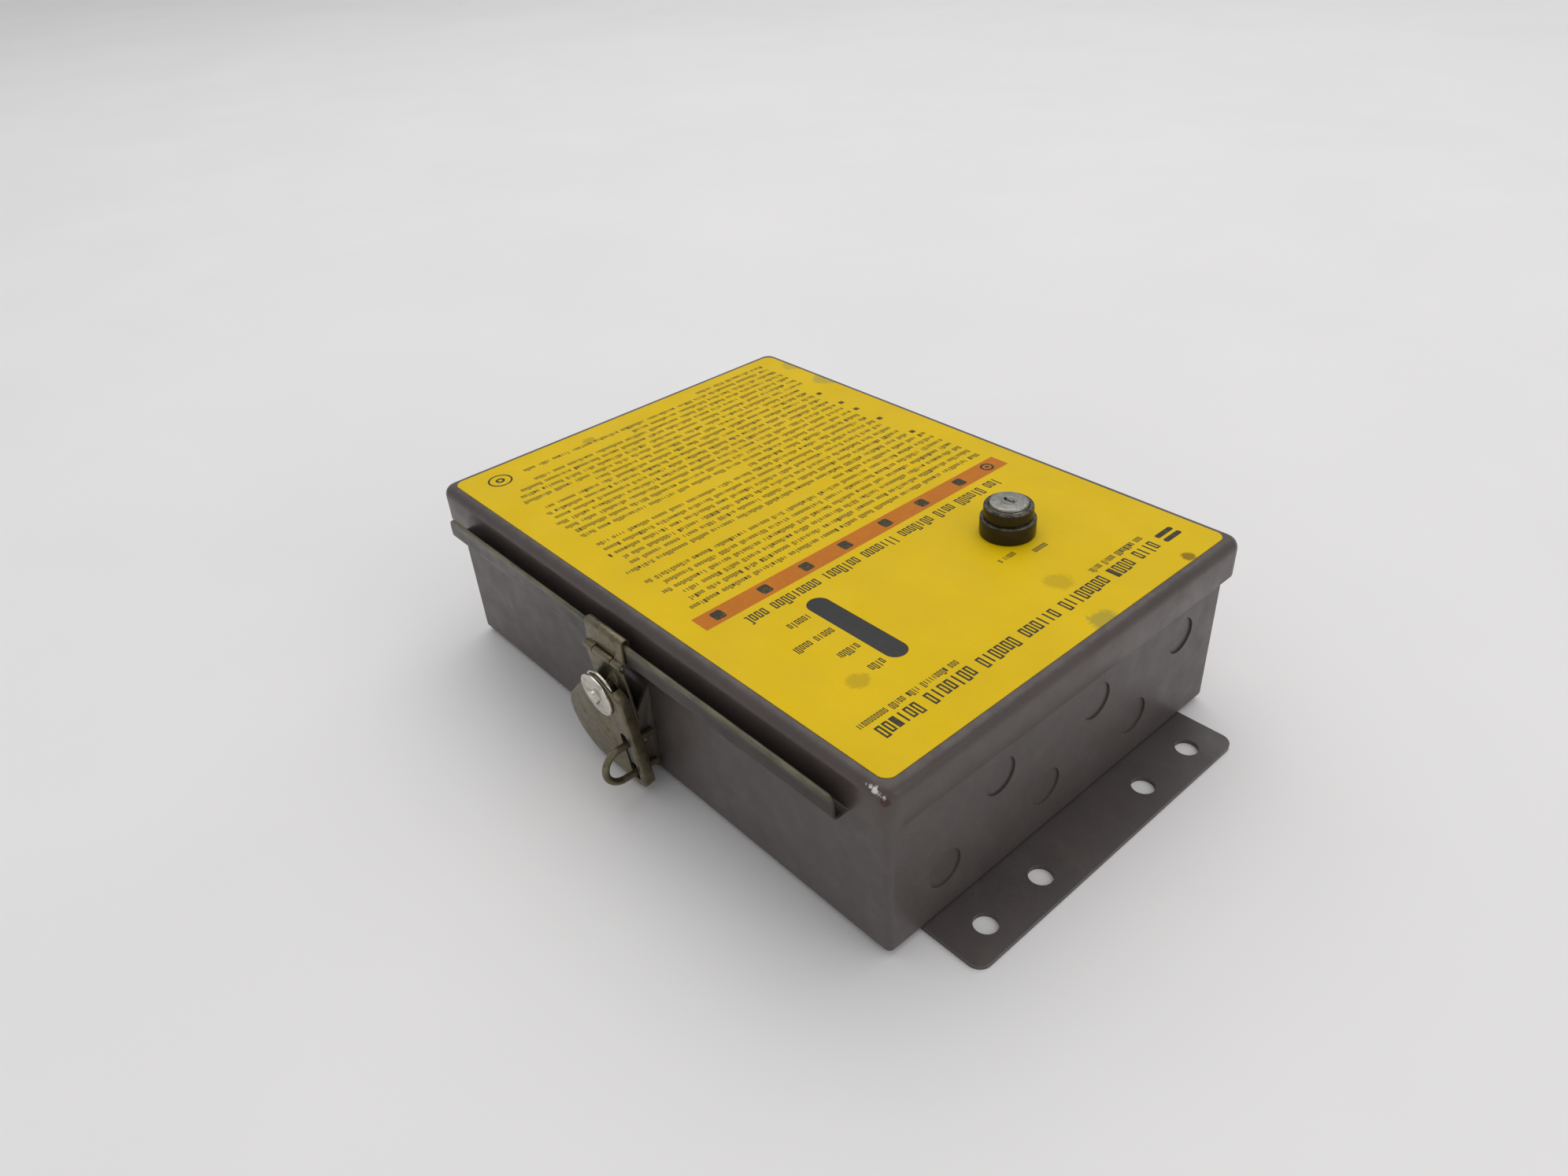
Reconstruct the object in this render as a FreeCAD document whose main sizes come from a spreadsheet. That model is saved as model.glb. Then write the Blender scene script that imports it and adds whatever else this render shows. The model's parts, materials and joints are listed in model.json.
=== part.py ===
import FreeCAD, Part
import math
import os

import Sketcher

# Safety relay controller in a hinged steel wall box, lying on its back.
# +X: towards the wall with the conduit knockouts, -Y: latch side, +Y: hinge side, +Z: out of the lid.
# The origin is the centre of the mounting-hole pattern, on the underside of the two mounting feet.

SHEET = "dims"

DIMENSIONS = [
    # steel box
    ("body_length", 254.0, "box, outside, along X"),
    ("body_width", 177.8, "box, outside, along Y"),
    ("rim_level", 70.6, "top of the box rim above the mounting plane"),
    ("wall", 1.5, "sheet thickness of box and lid"),
    ("box_corner", 2.5, "outside radius of the box's upright corners"),
    ("back_edge", 2.0, "outside radius round the box's back"),
    ("rim_width", 9.0, "width of the rim turned in round the opening"),
    ("knockout_radius", 7.25, "radius of each half-punched conduit knockout"),
    ("knockout_set", 0.8, "how far a knockout disc stands in from the wall"),
    ("knockout_pitch", 25.4, "step between neighbouring knockouts along Y"),
    ("knockout_low", 22.2, "height of the lower knockout row"),
    ("knockout_high", 44.4, "height of the upper knockout row"),
    # mounting feet
    ("foot_thickness", 1.9, "thickness of the two foot strips"),
    ("foot_reach", 23.4, "foot strip beyond the end wall"),
    ("foot_lap", 20.0, "foot strip under the box"),
    ("foot_margin", 15.9, "box side beyond the end of a foot strip"),
    ("foot_corner", 5.0, "outside corner radius of a foot strip"),
    ("mount_offset", 12.7, "mounting holes beyond the end wall"),
    ("mount_span_inner", 59.2, "inner pair of mounting holes, centre to centre"),
    ("mount_span_outer", 115.6, "outer pair of mounting holes, centre to centre"),
    ("mount_radius", 4.35, "mounting hole radius"),
    # lid
    ("lid_level", 75.1, "lid face above the mounting plane"),
    ("lid_overhang", 3.4, "lid skirt outside the box wall"),
    ("skirt_level", 60.0, "lower edge of the lid skirt"),
    ("lid_corner", 6.0, "outside radius of the lid's upright corners"),
    ("lid_edge", 4.0, "outside radius round the lid face"),
    ("lip_reach", 6.0, "latch lip beyond the skirt"),
    ("lip_crest", 67.8, "top of the latch lip"),
    ("lip_margin", 13.0, "box end beyond the end of the latch lip"),
    ("lip_bend", 2.5, "outside bend radius under the latch lip"),
    ("lip_end", 3.0, "corner radius at the ends of the latch lip"),
    ("gasket_width", 6.0, "width of the lid gasket strip"),
    ("gasket_inset", 1.6, "gasket strip inside the box's outline"),
    ("face_gap", 0.3, "running gap between faces of different bodies"),
    # hinge
    ("hinge_pin_radius", 1.25, "continuous hinge pin"),
    ("pin_clearance", 0.05, "radial clearance of a pin in its knuckle"),
    ("knuckle_radius", 2.6, "outside radius of a hinge knuckle"),
    ("hinge_level", 57.5, "hinge pin above the mounting plane"),
    ("hinge_margin", 13.0, "box end beyond the end of the continuous hinge"),
    ("leaf_thickness", 1.2, "hinge leaf sheet"),
    ("leaf_bottom", 34.0, "lower edge of the box leaf"),
    ("leaf_top", 70.0, "upper edge of the lid leaf"),
    ("knuckle_gap", 0.3, "end gap between neighbouring knuckles"),
    # label and lamp window
    ("label_margin_x", 1.5, "face label inside the box's ends"),
    ("label_margin_y", 1.1, "face label inside the box's sides"),
    ("label_corner", 4.0, "corner radius of the face label"),
    ("label_thickness", 0.25, "face label film"),
    ("window_from_end", 59.3, "lamp window centre from the box's +X end"),
    ("window_y", -42.4, "lamp window centre along Y"),
    ("window_length", 44.4, "lamp window over its round ends"),
    ("window_width", 8.8, "lamp window across"),
    ("window_fit", 0.1, "gap round the lamp window lens"),
    ("lens_seat", 1.2, "depth of the lens below the lid face"),
    # lamps on the lid
    ("lamp_pitch", 11.0, "step between lamps"),
    ("lamp_radius", 2.5, "lamp body"),
    ("lamp_height", 8.6, "lamp over its dome"),
    ("lamp_flange", 2.9, "lamp flange radius"),
    ("lamp_board_level", 63.0, "underside of the lamp board"),
    ("lamp_board_length", 60.0, "lamp board along X"),
    ("lamp_board_width", 16.0, "lamp board along Y"),
    ("board_thickness", 1.6, "printed board laminate"),
    ("lamp_post_radius", 2.8, "posts under the lid that carry the lamp board"),
    ("lamp_post_step", 25.0, "lamp board posts from the window's middle"),
    ("small_screw_radius", 1.5, "M3 screw shank"),
    ("small_head_radius", 2.75, "M3 screw head"),
    ("small_head_height", 2.0, "M3 screw head"),
    ("screw_clearance", 0.1, "radial clearance round a screw shank"),
    # key switch
    ("key_from_end", 60.4, "key switch axis from the box's +X end"),
    ("key_y", 37.4, "key switch axis along Y"),
    ("barrel_radius", 8.0, "threaded barrel through the lid"),
    ("bezel_band", 2.4, "dress nut round the barrel"),
    ("bezel_height", 7.0, "key switch dress nut"),
    ("collar_band", 1.2, "head of the switch round the barrel"),
    ("collar_height", 5.0, "key switch head above the dress nut"),
    ("barrel_bottom", 50.0, "lower end of the threaded barrel"),
    ("head_rim", 2.0, "rim of the head round the lock core's face"),
    ("cap_depth", 3.0, "lock core face inside the head"),
    ("cap_proud", 1.6, "lock core face above the head"),
    ("barrel_wall", 2.5, "barrel round the lock core"),
    ("running_gap", 0.08, "radial running gap of turning and sliding pieces"),
    ("keyway_length", 7.4, "key slot in the lock core"),
    ("keyway_width", 1.7, "key slot in the lock core"),
    ("keyway_depth", 7.0, "key slot in the lock core"),
    ("tail_slope", 0.5, "slope of the core's slanted tail, rise over run"),
    ("nut_band", 3.0, "lock nut from the barrel out to its flats"),
    ("nut_height", 3.0, "key switch lock nut"),
    ("washer_band", 3.8, "washer round the barrel"),
    ("washer_height", 0.8, "key switch washer"),
    ("contact_margin", 3.0, "contact block from the barrel out to its sides"),
    ("contact_top", 43.0, "top of the contact block body"),
    ("contact_bottom", 25.0, "bottom of the contact block"),
    ("contact_band", 1.8, "contact block collar round the barrel"),
    ("contact_lap", 4.0, "contact block collar up the barrel"),
    ("plunger_radius", 1.2, "contact plunger"),
    ("plunger_inset", 1.5, "contact plunger axis inside the lock core's side"),
    ("plunger_gap", 0.3, "contact plunger below the slanted tail"),
    ("plunger_seat", 5.0, "contact plunger inside the block at rest"),
    # latch
    ("pivot_out", 11.1, "latch hinge pin outside the box wall"),
    ("pivot_level", 59.2, "latch hinge pin above the mounting plane"),
    ("latch_pin_radius", 0.9, "latch hinge pin"),
    ("latch_knuckle", 1.75, "outside radius of the latch knuckles"),
    ("strap_half", 11.25, "half width of the latch strap and of the hook"),
    ("strap_thickness", 1.2, "latch strap sheet"),
    ("strap_front", 0.9, "front of the strap before the pin axis"),
    ("strap_length", 25.0, "strap below the pin axis"),
    ("strap_knuckle_half", 5.4, "half width of the strap's own knuckle"),
    ("hook_gap", 0.1, "hook clear of the lip"),
    ("hook_drop", 4.6, "hook end below the lip crest, inside the channel"),
    ("hook_rise", 1.0, "room between the lip crest and the hook's bend"),
    ("latch_tilt", 6.5, "arm leans in towards the wall, in degrees"),
    ("paddle_front", 6.8, "paddle face before the pin axis"),
    ("paddle_sheet", 1.2, "paddle sheet"),
    ("paddle_depth", 4.6, "paddle over its turned-back rim"),
    ("paddle_side", 14.5, "straight side of the paddle from the middle"),
    ("paddle_bottom", 55.6, "bottom of the paddle below the pin axis"),
    ("paddle_small_corner", 4.0, "small corners of the paddle"),
    ("paddle_lobe", 16.5, "radius of the paddle's round lobe"),
    ("paddle_lobe_out", 12.5, "middle of the round lobe from the middle of the strap"),
    ("stud_drop", 13.8, "latch rivet below the pin axis"),
    ("lug_radius", 8.0, "paddle round the latch rivet"),
    ("stud_radius", 8.85, "flanges of the latch rivet"),
    ("stud_flange", 1.3, "thickness of a latch rivet flange"),
    ("stud_shank", 3.0, "latch rivet shank"),
    ("stud_boss_radius", 3.0, "latch rivet boss"),
    ("stud_boss_height", 1.8, "latch rivet boss"),
    ("slot_width", 4.6, "staple slot in the paddle"),
    ("slot_top", 28.7, "upper end of the staple slot below the pin axis"),
    ("slot_bottom", 52.6, "lower end of the staple slot below the pin axis"),
    ("clip_half", 4.0, "half width of the latch spring"),
    ("clip_thickness", 0.6, "latch spring strip"),
    # latch bracket and staple
    ("bracket_half", 7.7, "half width of the bracket over its ears"),
    ("bracket_sheet", 1.6, "bracket sheet"),
    ("bracket_bottom", 4.0, "bracket above the mounting plane"),
    ("bracket_top", 44.0, "bracket above the mounting plane"),
    ("ear_reach", 9.5, "ears out from the box wall"),
    ("keeper_out", 4.9, "keeper pin outside the box wall"),
    ("keeper_level", 21.6, "keeper pin above the mounting plane"),
    ("keeper_radius", 1.25, "keeper pin"),
    ("keeper_proud", 1.0, "keeper pin past each ear"),
    ("staple_radius", 1.4, "padlock staple wire"),
    ("staple_low", 9.8, "lower leg of the padlock staple"),
    ("staple_high", 24.4, "upper leg of the padlock staple"),
    ("staple_reach", 25.6, "padlock staple out from the box wall"),
    ("staple_root", 2.4, "inner end of the staple legs from the box wall"),
    # panel and main board
    ("panel_level", 8.0, "underside of the inner panel"),
    ("panel_margin_x", 16.0, "inner panel inside the box's ends"),
    ("panel_margin_y", 13.9, "inner panel inside the box's sides"),
    ("panel_corner", 4.0, "inner panel corner radius"),
    ("stud_inset", 8.0, "panel studs from the panel's edges"),
    ("panel_stud_radius", 2.5, "M5 weld stud"),
    ("panel_stud_foot", 4.5, "shoulder of a weld stud"),
    ("panel_stud_top", 16.0, "top of a weld stud"),
    ("panel_nut_flats", 8.0, "M5 nut across flats"),
    ("panel_nut_height", 4.0, "M5 nut"),
    ("board_level", 17.5, "underside of the main board"),
    ("board_margin_x", 13.0, "main board inside the panel's ends"),
    ("board_margin_y", 11.0, "main board inside the panel's sides"),
    ("post_inset", 5.0, "board posts from the board's edges"),
    ("post_flats", 5.5, "hexagonal board post across flats"),
    # parts on the main board
    ("terminal_margin", 12.0, "middle of a terminal block from the board's end"),
    ("terminal_depth", 14.0, "terminal block along X"),
    ("terminal_height", 16.0, "terminal block above the board"),
    ("terminal_pitch", 7.5, "terminal pitch"),
    ("terminal_screw_radius", 2.0, "terminal screw"),
    ("relay_length", 53.0, "force-guided relay along X"),
    ("relay_width", 16.5, "force-guided relay along Y"),
    ("relay_height", 16.5, "force-guided relay above the board"),
    ("core_length", 45.0, "transformer core along X"),
    ("core_stack", 18.0, "transformer core stack along Y"),
    ("core_height", 36.0, "transformer core above the board"),
    ("core_leg", 7.5, "transformer outer leg"),
    ("fuse_radius", 2.5, "fuse tube"),
    ("fuse_length", 20.0, "fuse over its caps"),
    ("fuse_level", 5.2, "fuse axis above the board"),
    ("selector_stroke", 4.0, "mode selector travel"),
    ("selector_knob_height", 9.0, "top of the mode selector's knob above the board"),
    ("capacitor_height", 25.0, "tallest capacitor above the board"),
    ("sink_length", 40.0, "heat sink along X"),
    ("sink_height", 20.0, "heat sink above the board"),
    ("header_length", 28.0, "lead header along X"),
    ("header_width", 9.5, "lead header along Y"),
    ("header_height", 9.0, "lead header above the board"),
    ("header_pitch", 2.54, "lead header pin pitch"),
    ("header_pin", 0.64, "lead header pin, square side"),
    ("chip_height", 3.4, "logic chip above the board"),
]

# Where things stand on the main board, from its middle: left front corner or axis, in X and Y.
TRANSFORMER_AT = (-54.0, 14.0)
RELAYS_AT = {"safety_relay_a": (-32.0, -24.0), "safety_relay_b": (-32.0, -44.0)}
FUSE_AT = (22.0, 30.0)
HEAT_SINK_AT = (-50.0, 46.0)
HEADER_AT = (-36.0, -58.0)
SELECTOR_AT = (30.0, -54.0)
GROUND_STUD_AT = (-116.0, -60.0)
CAPACITORS = [  # X, Y, radius, share of the tallest one's height
    (-66.0, -24.0, 8.0, 1.0), (-66.0, -44.0, 6.3, 0.8), (44.0, 4.0, 5.0, 0.5),
]
CHIPS = [  # X, Y, length, width
    (34.0, -14.0, 26.0, 9.0), (34.0, -34.0, 26.0, 9.0), (8.0, 48.0, 20.0, 9.0), (64.0, -14.0, 10.0, 10.0),
]

KNOCKOUT_COLUMNS = 6
HINGE_KNUCKLES = 12
TERMINAL_WAYS = 10
LAMPS = ["fault_lamp", "interlock_lamp", "stop_lamp", "run_lamp"]


class Size:
    """A length that knows both its value and the sheet formula it comes from."""

    def __init__(self, text, number):
        self.text = text
        self.number = float(number)

    def __add__(self, other):
        other = size(other)
        return Size(f"({self.text} + {other.text})", self.number + other.number)

    def __sub__(self, other):
        other = size(other)
        return Size(f"({self.text} - {other.text})", self.number - other.number)

    def __mul__(self, other):
        other = size(other)
        return Size(f"({self.text} * {other.text})", self.number * other.number)

    def __truediv__(self, other):
        other = size(other)
        return Size(f"({self.text} / {other.text})", self.number / other.number)

    def __neg__(self):
        return self * -1

    def __radd__(self, other):
        return size(other) + self

    def __rsub__(self, other):
        return size(other) - self

    def __rmul__(self, factor):
        return self * factor


def size(value):
    """A bare number as a Size."""
    return value if isinstance(value, Size) else Size(repr(float(value)), value)


class Named:
    """The sheet's cells as attributes, each one a Size."""


def fill_sheet(doc):
    """Writes every driving dimension into the sheet and returns them as named sizes."""
    sheet = doc.addObject("Spreadsheet::Sheet", SHEET)
    named = Named()
    for row, (alias, value, meaning) in enumerate(DIMENSIONS, start=1):
        sheet.set(f"A{row}", meaning)
        sheet.set(f"B{row}", str(value))
        sheet.setAlias(f"B{row}", alias)
        setattr(named, alias, Size(f"{SHEET}.{alias}", value))
    doc.recompute()
    return named


doc = FreeCAD.newDocument("controller")
d = fill_sheet(doc)
nodes = []


# ---------------------------------------------------------------- helpers

def bind(thing, prop, value):
    """Gives a property its value and ties it to the sheet."""
    value = size(value)
    thing.setExpression(prop, value.text)


def settle(thing, label):
    """Names a finished sub-part; its label is the name of its file."""
    thing.Label = label
    nodes.append(thing)
    return thing


def place(thing, x, y, z, rotation=None):
    """Puts an object somewhere, its position tied to the sheet."""
    if rotation is not None:
        thing.Placement = FreeCAD.Placement(FreeCAD.Vector(), rotation)
    bind(thing, "Placement.Base.x", x)
    bind(thing, "Placement.Base.y", y)
    bind(thing, "Placement.Base.z", z)
    return thing


UPRIGHT = FreeCAD.Rotation()
ALONG_X = FreeCAD.Rotation(FreeCAD.Vector(0, 1, 0), 90)
ALONG_Y = FreeCAD.Rotation(FreeCAD.Vector(1, 0, 0), -90)


def box(x0, y0, z0, x1, y1, z1, name="block"):
    """A box between two corners."""
    made = doc.addObject("Part::Box", name)
    bind(made, "Length", size(x1) - x0)
    bind(made, "Width", size(y1) - y0)
    bind(made, "Height", size(z1) - z0)
    return place(made, x0, y0, z0)


def rod(x, y, z, radius, length, along=UPRIGHT, name="rod"):
    """A round bar that starts at a point and runs along an axis."""
    made = doc.addObject("Part::Cylinder", name)
    bind(made, "Radius", radius)
    bind(made, "Height", length)
    return place(made, x, y, z, along)


def cone(x, y, z, low_radius, high_radius, height, name="taper"):
    """An upright taper."""
    made = doc.addObject("Part::Cone", name)
    bind(made, "Radius1", low_radius)
    bind(made, "Radius2", high_radius)
    bind(made, "Height", height)
    return place(made, x, y, z)


def hexagon(x, y, z, flats, height, name="hexagon"):
    """An upright hexagonal bar."""
    made = doc.addObject("Part::Prism", name)
    made.Polygon = 6
    bind(made, "Circumradius", size(flats) / math.sqrt(3))
    bind(made, "Height", height)
    return place(made, x, y, z)


def union(shapes, name="joined"):
    """Several shapes made into one."""
    made = doc.addObject("Part::MultiFuse", name)
    made.Shapes = shapes
    return made


def group(shapes, name="group"):
    """Separate solids kept in one node."""
    made = doc.addObject("Part::Compound", name)
    made.Links = shapes
    return made


def minus(base, tool, name="cut"):
    """A shape with another taken out of it."""
    made = doc.addObject("Part::Cut", name)
    made.Base = base
    made.Tool = tool
    return made


def tube(x, y, z, outer, inner, length, along=UPRIGHT, name="tube"):
    """A bar with a bore right through it."""
    return minus(rod(x, y, z, outer, length, along), rod(x, y, z, inner, length, along), name)


def new_body(name):
    return doc.addObject("PartDesign::Body", name)


def plane_of(body, role):
    return [item for item in body.Origin.OriginFeatures if item.Role == role][0]


def new_sketch(body, role, offset, name):
    """A sketch on one of the body's own planes, lifted by an offset along its normal."""
    sketch = body.newObject("Sketcher::SketchObject", name)
    sketch.AttachmentSupport = [(plane_of(body, role), "")]
    sketch.MapMode = "FlatFace"
    bind(sketch, "AttachmentOffset.Base.z", offset)
    return sketch


def fix(sketch, kind, references, value):
    """A constraint whose value comes from the sheet."""
    value = size(value)
    index = sketch.addConstraint(Sketcher.Constraint(kind, *references, value.number))
    sketch.setExpression(f"Constraints[{index}]", value.text)


def pin_point(sketch, item, end, x, y):
    """Holds a point of the sketch at a place measured from the origin."""
    fix(sketch, "DistanceX", (-1, 1, item, end), x)
    fix(sketch, "DistanceY", (-1, 1, item, end), y)


def draw_outline(sketch, points):
    """A closed outline of straight edges."""
    corners = [FreeCAD.Vector(size(x).number, size(y).number, 0) for x, y in points]
    count = len(points)
    edges = [
        sketch.addGeometry(Part.LineSegment(corners[i], corners[(i + 1) % count]))
        for i in range(count)
    ]
    for i in range(count):
        sketch.addConstraint(Sketcher.Constraint("Coincident", edges[i], 2, edges[(i + 1) % count], 1))
    for edge, (x, y) in zip(edges, points):
        pin_point(sketch, edge, 1, x, y)


def draw_rectangle(sketch, x0, y0, x1, y1):
    draw_outline(sketch, [(x0, y0), (x1, y0), (x1, y1), (x0, y1)])


def draw_circle(sketch, x, y, radius):
    centre = FreeCAD.Vector(size(x).number, size(y).number, 0)
    up = FreeCAD.Vector(0, 0, 1)
    item = sketch.addGeometry(Part.Circle(centre, up, size(radius).number))
    pin_point(sketch, item, 3, x, y)
    fix(sketch, "Radius", (item,), radius)


def draw_hull(sketch, circles):
    """The outline of a belt round circles that are listed anticlockwise."""
    centres = [FreeCAD.Vector(size(x).number, size(y).number, 0) for x, y, _ in circles]
    radii = [size(r).number for _, _, r in circles]
    count = len(circles)
    headings = []
    for i in range(count):
        step = centres[(i + 1) % count] - centres[i]
        lean = math.asin((radii[(i + 1) % count] - radii[i]) / step.Length)
        headings.append(math.atan2(step.y, step.x) - math.pi / 2 - lean)
    arcs = []
    for i in range(count):
        start = headings[i - 1]
        end = headings[i]
        while end < start:
            end += 2 * math.pi
        ring = Part.Circle(centres[i], FreeCAD.Vector(0, 0, 1), radii[i])
        arcs.append(sketch.addGeometry(Part.ArcOfCircle(ring, start, end)))
    runs = []
    for i in range(count):
        far = (i + 1) % count
        out = FreeCAD.Vector(math.cos(headings[i]), math.sin(headings[i]), 0)
        here = centres[i] + out * radii[i]
        there = centres[far] + out * radii[far]
        runs.append(sketch.addGeometry(Part.LineSegment(here, there)))
    for i in range(count):
        sketch.addConstraint(Sketcher.Constraint("Tangent", arcs[i], 2, runs[i], 1))
        sketch.addConstraint(Sketcher.Constraint("Tangent", runs[i], 2, arcs[(i + 1) % count], 1))
    for arc, (x, y, radius) in zip(arcs, circles):
        pin_point(sketch, arc, 3, x, y)
        fix(sketch, "Radius", (arc,), radius)


def draw_slot(sketch, x0, x1, y, radius):
    """A slot with round ends, along the sketch's own X."""
    draw_hull(sketch, [(x0, y, radius), (x1, y, radius)])


def pad(body, sketch, length, name="pad", both_ways=False):
    """Thickens a sketch along its normal; a negative length goes the other way."""
    made = body.newObject("PartDesign::Pad", name)
    made.Profile = sketch
    backwards = size(length).number < 0
    made.Reversed = backwards
    made.Midplane = both_ways
    bind(made, "Length", -size(length) if backwards else length)
    sketch.Visibility = False
    doc.recompute()
    return made


def pocket(body, sketch, depth, name="pocket", outwards=False):
    """Cuts a sketch into the body, against its normal unless outwards is set."""
    before = body.Shape.Volume
    made = body.newObject("PartDesign::Pocket", name)
    made.Profile = sketch
    made.Reversed = outwards
    bind(made, "Length", depth)
    doc.recompute()
    if body.Shape.Volume >= before - 1e-6:
        raise ValueError(f"{body.Name}: {name} removes nothing")
    return made


def edges_where(feature, test):
    """Names of the edges that a test picks out."""
    return [f"Edge{i}" for i, edge in enumerate(feature.Shape.Edges, start=1) if test(edge)]


def is_upright(edge):
    return abs(edge.tangentAt(edge.FirstParameter).z) > 0.999 and edge.BoundBox.ZLength > 1e-6


def lies_at(edge, level):
    return abs(edge.BoundBox.ZMin - level) < 1e-4 and abs(edge.BoundBox.ZMax - level) < 1e-4


def round_edges(body, feature, test, radius, name="rounding"):
    """Rounds the edges that a test picks out."""
    picked = edges_where(feature, test)
    if not picked:
        raise ValueError(f"{body.Name}: {name} finds no edge")
    made = body.newObject("PartDesign::Fillet", name)
    made.Base = (feature, picked)
    bind(made, "Radius", radius)
    doc.recompute()
    return made


def hollow(body, feature, open_test, thickness, name="shell"):
    """Turns a block into a sheet shell that is open at one face."""
    faces = [f"Face{i}" for i, face in enumerate(feature.Shape.Faces, start=1) if open_test(face)]
    made = body.newObject("PartDesign::Thickness", name)
    made.Base = (feature, faces)
    made.Reversed = True
    bind(made, "Value", thickness)
    doc.recompute()
    return made


# ---------------------------------------------------------------- places shared by several pieces

half_length = d.body_length / 2
half_width = d.body_width / 2
latch_wall = -half_width
lid_underside = d.lid_level - d.wall
label_top = d.lid_level + d.label_thickness
skirt_outer = half_width + d.lid_overhang
floor_level = d.foot_thickness + d.wall
mount_x = half_length + d.mount_offset
hinge_y = skirt_outer + d.knuckle_radius
knuckle_bore = d.hinge_pin_radius + d.pin_clearance
barrel_hole = d.barrel_radius + d.screw_clearance
head_bottom = label_top + d.bezel_height
head_top = head_bottom + d.collar_height
board_top = d.board_level + d.board_thickness
panel_top = d.panel_level + d.wall
pivot_y = latch_wall - d.pivot_out
hinge_half = half_length - d.hinge_margin
lip_half = half_length - d.lip_margin
key_x = half_length - d.key_from_end
key_y = d.key_y
window_x = half_length - d.window_from_end
bezel_radius = d.barrel_radius + d.bezel_band
collar_radius = d.barrel_radius + d.collar_band
cap_radius = collar_radius - d.head_rim
rotor_radius = d.barrel_radius - d.barrel_wall
plunger_offset = rotor_radius - d.plunger_inset
panel_x = half_length - d.panel_margin_x
panel_y = half_width - d.panel_margin_y
board_x = panel_x - d.board_margin_x
board_y = panel_y - d.board_margin_y
terminal_x = board_x - d.terminal_margin
ARM_TURN = FreeCAD.Rotation(FreeCAD.Vector(1, 0, 0), d.latch_tilt.number)


# ---------------------------------------------------------------- steel box and feet

def knockout_places():
    """Centres of the knockouts on the end wall, low and high by turns."""
    first = d.knockout_pitch * (-(KNOCKOUT_COLUMNS - 1) / 2)
    for column in range(KNOCKOUT_COLUMNS):
        level = d.knockout_low if column % 2 == 0 else d.knockout_high
        yield first + d.knockout_pitch * column, level


def make_box():
    body = new_body("enclosure_tub")
    outline = new_sketch(body, "XY_Plane", d.foot_thickness, "box_outline")
    draw_rectangle(outline, -half_length, -half_width, half_length, half_width)
    block = pad(body, outline, d.rim_level - d.foot_thickness, "block")
    corners = round_edges(body, block, is_upright, d.box_corner, "corner_bends")
    low = d.foot_thickness.number
    back = round_edges(body, corners, lambda e: lies_at(e, low), d.back_edge, "back_bends")
    top = d.rim_level.number
    hollow(body, back, lambda f: f.BoundBox.ZMin > top - 1e-4, d.wall)
    rim = new_sketch(body, "XY_Plane", d.rim_level - d.wall, "rim")
    lap = d.wall / 2
    draw_rectangle(rim, lap - half_length, lap - half_width, half_length - lap, half_width - lap)
    open_x = half_length - d.rim_width
    open_y = half_width - d.rim_width
    draw_rectangle(rim, -open_x, -open_y, open_x, open_y)
    pad(body, rim, d.wall, "turned_in_rim")
    outside = new_sketch(body, "YZ_Plane", half_length, "knockout_recess")
    inside = new_sketch(body, "YZ_Plane", half_length - d.wall, "knockout_disc")
    for y, z in knockout_places():
        draw_circle(outside, y, z, d.knockout_radius)
        draw_circle(inside, y, z, d.knockout_radius)
    pad(body, inside, -d.knockout_set, "discs")
    pocket(body, outside, d.knockout_set, "recesses")
    return settle(body, "enclosure_tub")


def make_foot(side, label):
    """One foot strip under the end of the box; side is +1 or -1 along X."""
    body = new_body(label)
    outer = (half_length + d.foot_reach) * side
    inner = (half_length - d.foot_lap) * side
    half_span = half_width - d.foot_margin
    outline = new_sketch(body, "XY_Plane", 0, "strip")
    draw_rectangle(outline, inner, -half_span, outer, half_span)
    for half_step in (d.mount_span_inner / 2, d.mount_span_outer / 2):
        for way in (-1, 1):
            draw_circle(outline, mount_x * side, half_step * way, d.mount_radius)
    strip = pad(body, outline, d.foot_thickness, "strip_pad")
    end = outer.number

    def at_outer_corner(edge):
        return is_upright(edge) and abs(edge.BoundBox.XMin - end) < 1e-4 and edge.BoundBox.XLength < 1e-4

    round_edges(body, strip, at_outer_corner, d.foot_corner, "corners")
    return settle(body, label)


# ---------------------------------------------------------------- lid

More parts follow.
